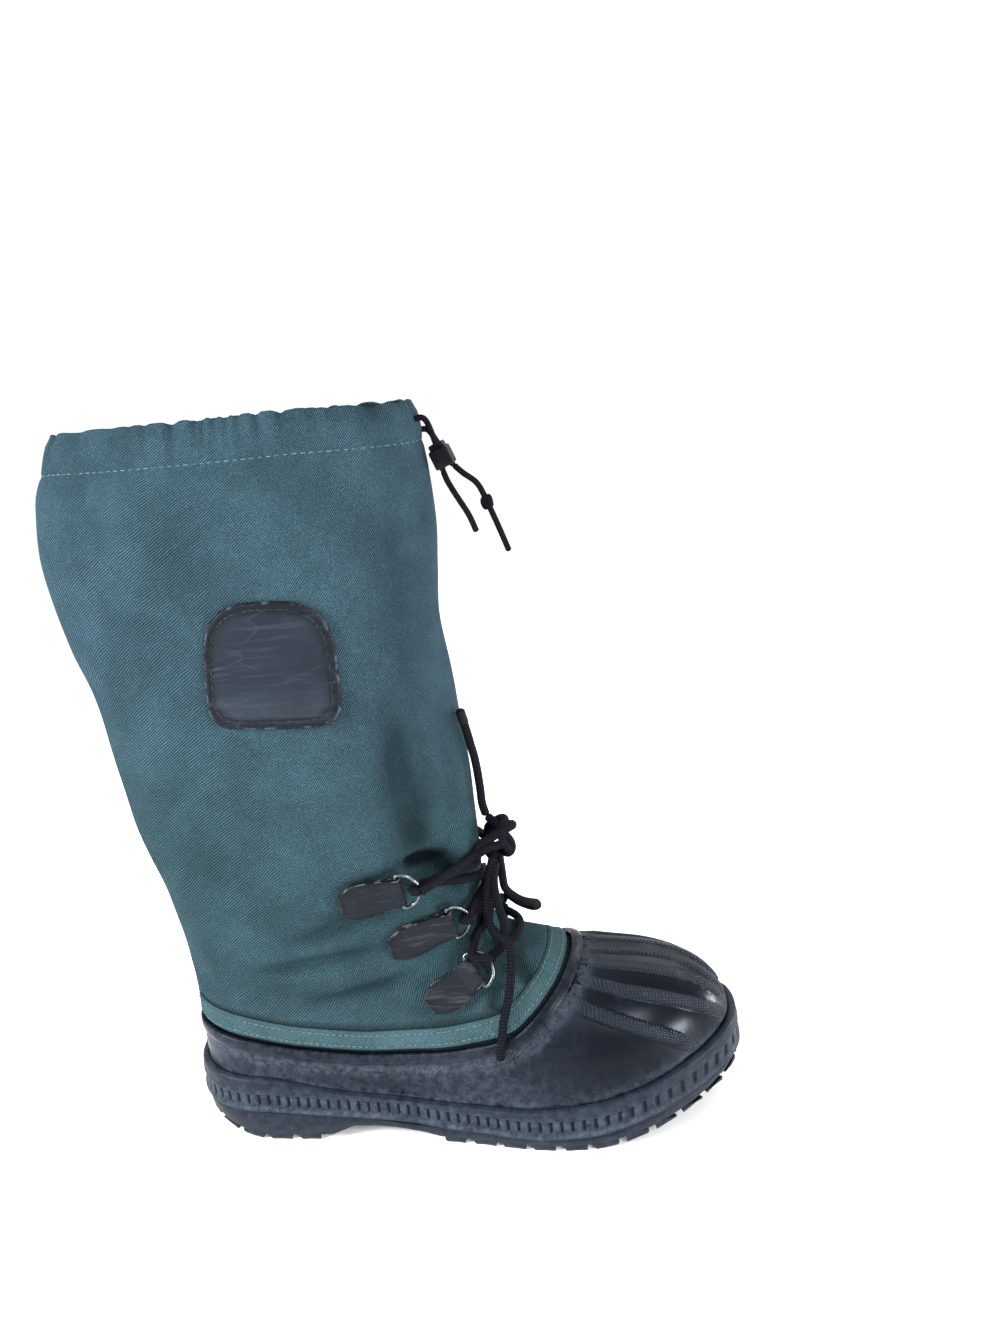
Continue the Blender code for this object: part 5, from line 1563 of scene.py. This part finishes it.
def build_tab(name, row, side):
    line, ahead, across, out = tab_frame(row, side)
    run = run_of(line)
    length = run[-1]
    bend = WIRE + GAP + LEATHER / 2
    low = LEATHER / 2
    high = low + LEATHER + GAP
    wire = low + bend
    centre = [(s * length, low) for s in np.linspace(0, 1, 14)]
    centre += [(length + bend * math.cos(a), wire + bend * math.sin(a)) for a in np.linspace(-1.2, 1.2, 9)]
    centre += [(length, wire + bend), (length - 0.0025, (wire + bend) * 0.6 + high * 0.4)]
    centre += [(length - 0.0060, high + 0.0002)]
    centre += [(s * length, high) for s in np.linspace(0.76, 0.0, 14)]
    centre = even(np.column_stack([np.array(centre), np.zeros(len(centre))]), 0.0011)[:, :2]
    way = normed(np.gradient(centre, axis=0))
    step = np.stack([way[:, 1], -way[:, 0]], -1)
    thin = np.full(len(centre), LEATHER / 2)
    thin[[0, -1]] *= 0.55
    loop = np.vstack([centre + step * thin[:, None], (centre - step * thin[:, None])[::-1]])
    core = np.vstack([centre, centre[::-1]])
    strips = np.concatenate([[-1.0], np.linspace(-0.97, 0.97, 17), [1.0]])
    rows = []
    edge = []
    layers = len(centre)
    for w in strips:
        tight = 0.5 if abs(w) > 0.99 else 1.0
        places = core * (1 - tight) + loop * tight
        s, h = places.T[:, :, None]
        width = w * TAB_HALF * TAB_PLAN.at("half", s / length)
        rigid = line[-1] + ahead * (s - length) + across * width + out * h
        laid = on_line(places[:, 0], run, line) + across * width
        normal = field_normal(laid, smooth_field)
        laid = settle(laid, 0.0, smooth_field) + normal * (TAB_LIFT + h)
        rows.append(np.where(s > length - TAB_FREE, rigid, laid))
        back = unit(1 - places[:, 0] / 0.0025)
        edge.append(unit(np.maximum((abs(w) - 0.80) / 0.18, back)))
    grid = np.array(rows)
    tab = grid_object(name.replace("lace", "leather"), grid, TAB_LEATHER)
    shape = bmesh.new()
    shape.from_mesh(tab.data)
    count = 2 * layers
    shape.verts.ensure_lookup_table()
    for first in (0, (len(strips) - 1) * count):
        for k in range(layers - 1):
            corners = (first + k, first + k + 1, first + count - k - 2, first + count - k - 1)
            shape.faces.new([shape.verts[c] for c in corners]).smooth = True
    bmesh.ops.recalc_face_normals(shape, faces=shape.faces)
    shape.to_mesh(tab.data)
    shape.free()
    masks(tab, edge=np.array(edge))
    path = []
    border = [(0.10, w) for w in np.linspace(-0.62, 0.62, 5)]
    border += [(t, 0.80) for t in np.linspace(0.16, 0.70, 9)]
    border += [(0.74, w) for w in np.linspace(0.72, -0.72, 7)]
    border += [(t, -0.80) for t in np.linspace(0.70, 0.16, 9)]
    for t, w in border:
        s = t * length
        width = w * TAB_HALF * float(TAB_PLAN.at("half", t))
        base = on_line(s, run, line) + across * width
        path.append(settle(base[None], TAB_LIFT + high + LEATHER / 2 - 0.0001, smooth_field)[0])
    path = np.array(path)
    path = smooth_route(np.vstack([path, path[:1]]), LACE_STEP)[:-1]
    normal = field_normal(path, smooth_field)
    thread = stitches(name + "_stitches", path, normal, 0.0029, 0.0021, 0.00024, DARK_THREAD)
    ride_as(tab, name)
    ride_only(thread)


def ring_frame(row, side):
    line, ahead, across, out = tab_frame(row, side)
    middle = line[-1] + out * (LEATHER / 2 + WIRE + GAP + LEATHER / 2)
    slope = ahead * math.cos(RING_TILT) + out * math.sin(RING_TILT)
    return middle, slope, across, np.cross(slope, across)


def build_ring(name, row, side):
    middle, slope, across, _ = ring_frame(row, side)
    path = [(0, w) for w in np.linspace(-0.86, 0.86, 9)]
    path += [(0.04, 0.95), (0.14, 1.0)]
    path += [(0.16 + 0.84 * math.sin(a), math.cos(a)) for a in np.linspace(0.12, math.pi - 0.12, 26)]
    path += [(0.14, -1.0), (0.04, -0.95)]
    centre = np.array([middle + slope * s * RING_REACH + across * w * RING_HALF for s, w in path])
    ring_piece = tube_piece(name.replace("ring", "wire"), centre, WIRE, RING_WIRE, 12, closed=True)
    ride_as(ring_piece, name)


# Laces

def clear_of_boot(points, height):
    near = boot_field(*points.T) < height
    return np.where(near[:, None], settle(points, height), points)


def ring_turn(row, side):
    """How the lace goes round the free end of a ring: over the wire, through, and out below."""
    middle, slope, _, up = ring_frame(row, side)
    if np.dot(up, field_normal(middle[None])[0]) < 0:
        up = -up
    wire = middle + slope * RING_REACH
    wrap = WIRE + LACE / 2 + 0.0003
    over = wire + up * wrap + slope * 0.0012
    through = wire - slope * wrap
    under = wire - up * wrap + slope * 0.0016
    return over, through + up * 0.0004, under


def strand_points(start, end, height, hump):
    """Points of a lace from one place over the front to another, raised in the middle."""
    t = np.linspace(0, 1, 15)[1:-1]
    y = start[1] + (end[1] - start[1]) * t
    z = start[2] + (end[2] - start[2]) * t
    over = front(y, z, height + hump * bell(t - 0.5, 0.16))
    pull = unit(np.minimum(t, 1 - t) / 0.30)[:, None]
    ends = np.where((t < 0.5)[:, None], start, end)
    return ends * (1 - pull) + over * pull


def build_laces():
    height = LACE / 2 + 0.0004
    sides = {side: [ring_turn(row, side) for row in (1, 2, 3)] for side in (-1, 1)}
    hump = LACE * 0.95
    route = []
    order = [(1, -1), (2, 1), (3, -1)]
    for number, (row, side) in enumerate(order):
        over, through, under = sides[side][row - 1]
        if number == 0:
            route += [over, through, under]
        else:
            before = sides[order[number - 1][1]][order[number - 1][0] - 1][2]
            route += list(strand_points(before, over, height, 0.0)) + [over, through, under]
    last = sides[-1][2][2]
    back = [(3, 1), (2, -1), (1, 1)]
    for number, (row, side) in enumerate(back):
        over, through, under = sides[side][row - 1]
        if number == 0:
            dip = np.array([0, 0, BAR_DROP * 0.4])
            route += list(strand_points(last + dip, under + dip, height, 0.0)) + [under, through, over]
        else:
            before = sides[back[number - 1][1]][back[number - 1][0] - 1][0]
            route += list(strand_points(before, under, height, hump)) + [under, through, over]
    line = smooth_route(np.array(route), LACE_STEP)
    line = clear_of_boot(line, LACE / 2 + 0.0002)
    lace = tube_piece("lace_run", line, LACE / 2, LACE_BRAID, 16)
    ride_as(lace, "lace_bar", "lace_crossing_low", "lace_crossing_high")
    return sides


def knot_place():
    return front(np.array([KNOT_Y]), np.array([KNOT_Z]), KNOT_TALL / 2 + LACE_CLEAR)[0]


def knot_strand(name, points):
    """One lace of the tie, kept off the cloth; its points are in millimetres from the centre."""
    line = smooth_route(clear_of_boot(np.array(points), LACE / 2 + 0.0006), KNOT_STEP)
    line = clear_of_boot(line, LACE / 2 + 0.0003)
    return tube_piece(name, smooth_route(line[::3], KNOT_STEP), LACE / 2, LACE_BRAID, 16)


def build_knot(sides):
    """The tie: both top strands wrap each other, and turn out to the three free ends."""
    centre = knot_place()

    def around(*steps):
        return [centre + np.array(step) / 1000 for step in steps]

    outer_over, _, outer_under = sides[-1][0]
    inner_over = sides[1][0][0]
    up_start, down_start, loop_start = (laid_route(table)[0] for table in (LACE_UP, LACE_DOWN, LACE_LOOP))
    first = [outer_over, *around((-14, -11, -6), (-7, -11, -1), (1, -9.5, 3), (8, -6, 5.5), (11, 0, 5))]
    first += [*around((8, 6, 3), (1, 8, 1), (-3, 4, -3), (-1, -2, -7)), down_start]
    second = [inner_over, *around((-12, 12, -6), (-4, 11, 0), (3, 7, 6), (7, 1, 8), (6, -6, 5), (6, -9, 0))]
    second += [*around((8, -7, -5), (7, -2, -9), (3, 4, -9)), loop_start]
    third = [up_start, *around((2, 1, 6), (6, -4, 3), (9.5, -5, -2))]
    third += around((9.5, -4, -7), (6, -1, -10.5), (1, 3, -7))
    fourth = [outer_under, *around((-15, -11, -10.5), (-8, -12, -6), (-1, -11, -2), (4, -9, -2), (6, -3, -3))]
    fifth = around((0, -9, -8), (-2.5, -12.5, -16), (-5.5, -17, -28), (-5, -19.5, -40), (-1.5, -21, -49))
    fifth += around((2, -20.5, -50), (3, -19, -43), (0.5, -17, -31), (-0.5, -14, -20), (1.5, -9, -9))
    names = ("tie_outer", "tie_inner", "tie_up", "tie_low", "tie_loop")
    strands = (first, second, third, fourth, fifth)
    pieces = [knot_strand(name, points) for name, points in zip(names, strands)]
    knot = joined("lace_knot_tied", pieces)
    ride_as(knot, "lace_knot")
    return knot


def laid_route(table):
    """A table's points laid on the boot, raised where they pass over another lace."""
    height = LACE / 2 + LACE_CLEAR
    places = settle(settle(table.points(), height), height)
    places = smooth_route(places + field_normal(places) * table.values[:, 4:5] * LACE, LACE * 1.5)
    return smooth_route(clear_of_boot(places, height + RIM_BEAD), LACE_STEP)


def free_cord(name, points, diameter, look):
    cord = tube_piece(name + "_cord", points, diameter / 2, look, 16)
    ride_as(cord, name)
    return cord


def build_free_laces():
    up = laid_route(LACE_UP)
    tip = even(up[-9:], LACE_STEP)
    aglet = tube_piece("lace_aglet", tip + field_normal(tip) * 0.00005, LACE / 2 + 0.00025, LOCK_PLASTIC, 16)
    ride_only(aglet)
    free_cord("lace_end_up", up, LACE, LACE_BRAID)
    free_cord("lace_end_down", laid_route(LACE_DOWN), LACE, LACE_BRAID)
    free_cord("lace_loop", laid_route(LACE_LOOP), LACE, LACE_BRAID)


def eased_box(size, shift, ease, segments, **bevel):
    """A box of those half sizes with rounded edges."""
    shape = bmesh.new()
    bmesh.ops.create_cube(shape, size=2)
    bmesh.ops.scale(shape, vec=size, verts=shape.verts)
    bmesh.ops.bevel(shape, geom=shape.edges, offset=ease, segments=segments, affect="EDGES", **bevel)
    bmesh.ops.translate(shape, vec=shift, verts=shape.verts)
    return shape


def build_lock():
    x, y, z = (size / 2 for size in LOCK_SIZE)
    turn = Matrix.Rotation(LOCK_TILT, 3, "Y")
    shapes = [
        eased_box((x, y, z * 0.80), (0, 0, -z * 0.18), 0.0013, 4, profile=0.6),
        eased_box((x * 0.78, y * 0.70, z * 0.32), (0, 0, z * 0.74), 0.0010, 4, profile=0.6),
    ]
    for k in range(5):
        place = (0, 0, -z * 0.18 + (k - 2) * 0.0015)
        shapes.append(eased_box((x * 0.94, y * 1.03, 0.00035), place, 0.00025, 2))
    objects = []
    for number, shape in enumerate(shapes):
        bmesh.ops.rotate(shape, cent=(0, 0, 0), matrix=turn, verts=shape.verts)
        bmesh.ops.translate(shape, vec=placed([LOCK_X, 0, LOCK_Z]), verts=shape.verts)
        mesh = bpy.data.meshes.new(f"lock_part_{number}")
        shape.to_mesh(mesh)
        shape.free()
        mesh.materials.append(LOCK_PLASTIC)
        mesh.polygons.foreach_set("use_smooth", np.ones(len(mesh.polygons), bool))
        objects.append(linked(mesh.name, mesh))
    for number, (x, y, z) in enumerate(COLLAR_HOLES):
        start = front(np.array([y]), np.array([z]), -0.0012)[0]
        line = [start, (x, y, z - 0.001), (LOCK_X - 0.001, y * 0.7, LOCK_Z + 0.004)]
        name = f"drawcord_strand_{number}"
        objects.append(tube_piece(name, smooth_route(line, CORD_STEP), CORD / 2, CORD_BRAID, 14))
    for number, table in enumerate((CORD_END_SHORT, CORD_END_LONG)):
        first, second = table.points()[:2]
        line = [(LOCK_X, first[1] * 0.7, LOCK_Z), first, first + normed(second - first) * 0.0005]
        name = f"drawcord_stub_{number}"
        objects.append(tube_piece(name, smooth_route(line, CORD_STEP), CORD / 2 * 0.97, CORD_BRAID, 14))
    lock = joined("drawcord_lock", objects)
    ride_as(lock, "cord_lock")
    return lock


def build_drawcord(lock):
    short = smooth_route(CORD_END_SHORT.points(), CORD_STEP)
    free_cord("drawcord_end_short", short, CORD, CORD_BRAID)
    long = smooth_route(CORD_END_LONG.points(), CORD_STEP)
    middle = round(len(long) * CORD_KNOT_AT)
    way = normed(long[middle + 2] - long[middle])
    side = np.cross(way, [0, 1.0, 0])
    other = np.cross(way, side)
    t = np.linspace(0, 2 * math.pi, 90, endpoint=False)
    a = (np.sin(t) + 2 * np.sin(2 * t)) / 3
    b = (np.cos(t) - 2 * np.cos(2 * t)) / 3
    a, b, c = np.stack([a, b, np.sin(3 * t)])[:, :, None] * CORD_KNOT
    loops = long[middle] + side * a + other * b - way * c
    knot = tube_piece("drawcord_knot", loops, CORD / 2 * 0.95, CORD_BRAID, 14, closed=True)
    ride_only(knot)
    free_cord("drawcord_end_long", long, CORD, CORD_BRAID)


# Camera, light and floor

def camera_matrix():
    """The photograph's camera in the row's frame: fitted to landmarks of the boot."""
    pitch = math.radians(PHOTO_PITCH)
    roll = math.radians(PHOTO_ROLL)
    right = Vector((1, 0, 0))
    ahead = Vector((0, math.cos(pitch), -math.sin(pitch)))
    up = Vector((0, math.sin(pitch), math.cos(pitch)))
    turned_right = right * math.cos(roll) - up * math.sin(roll)
    turned_up = right * math.sin(roll) + up * math.cos(roll)
    camera = Matrix((turned_right, turned_up, -ahead)).transposed().to_4x4()
    camera.translation = (0, 0, PHOTO_HEIGHT)
    boot = Matrix.Translation(PHOTO_BOOT) @ Matrix.Rotation(math.radians(PHOTO_YAW), 4, "Z")
    boot = boot @ Matrix.Translation((PHOTO_SLIDE, 0, 0))
    return Matrix.Translation(SHIFT) @ boot.inverted() @ camera


def build_camera():
    data = bpy.data.cameras.new("photo_camera")
    data.sensor_fit = "VERTICAL"
    data.sensor_height = 24
    data.lens = PHOTO_FOCUS / PHOTO_TALL * data.sensor_height
    data.clip_start = 0.01
    camera = linked("photo_camera", data)
    camera.matrix_world = camera_matrix()
    bpy.context.scene.camera = camera


def area_light(name, place, target, size, power, colour=(1, 1, 1)):
    data = bpy.data.lights.new(name, "AREA")
    data.shape = "RECTANGLE"
    data.size, data.size_y = size
    data.energy = power
    data.color = colour
    light = linked(name, data)
    light.location = place
    aim = Vector(target) - Vector(place)
    light.rotation_euler = aim.to_track_quat("-Z", "Y").to_euler()


def build_stage():
    look = Look("pale_floor")
    look.finish(Base_Color=(0.96, 0.96, 0.96, 1.0), Roughness=0.9, Specular_IOR_Level=0.0)
    shape = bmesh.new()
    bmesh.ops.create_grid(shape, x_segments=1, y_segments=1, size=6.0)
    mesh = bpy.data.meshes.new("floor")
    shape.to_mesh(mesh)
    shape.free()
    mesh.materials.append(look.material)
    linked("floor", mesh)
    world = bpy.data.worlds.new("studio")
    world.use_nodes = True
    background = world.node_tree.nodes["Background"]
    background.inputs["Color"].default_value = (1.0, 1.0, 1.0, 1.0)
    background.inputs["Strength"].default_value = 1.07
    bpy.context.scene.world = world
    area_light("key", (0.55, -0.75, 0.60), (0.10, 0.0, 0.08), (0.30, 0.30), 7.5)
    area_light("left", (-0.85, -0.55, 0.65), (-0.02, 0.0, 0.18), (0.35, 0.50), 32.0, (0.94, 0.98, 1.0))
    area_light("right_front", (1.05, -0.62, 0.10), (0.13, -0.02, 0.05), (0.30, 0.16), 14.0)
    area_light("right_back", (1.20, 0.36, 0.08), (0.14, -0.01, 0.06), (0.14, 0.14), 10.0)
    area_light("top", (0.0, 0.1, 1.5), (0.0, 0.0, 0.1), (0.7, 0.7), 3.0)
    area_light("back", (0.5, 0.8, 0.8), (0.0, 0.0, 0.2), (0.6, 0.6), 4.0)
    view = bpy.context.scene.view_settings
    view.view_transform = "Standard"
    view.look = "None"


build_camera()
SIDES = build_laces()
KNOT = build_knot(SIDES)
build_free_laces()
build_drawcord(build_lock())
build_shaft()
build_tape()
build_shell()
build_foxing()
build_outsole()
build_insole()
build_patch()
for row in (1, 2, 3):
    for side, word in ((-1, "outer"), (1, "inner")):
        build_tab(f"lace_tab_{word}_{row}", row, side)
        build_ring(f"lace_ring_{word}_{row}", row, side)
build_stage()

bpy.context.view_layer.update()
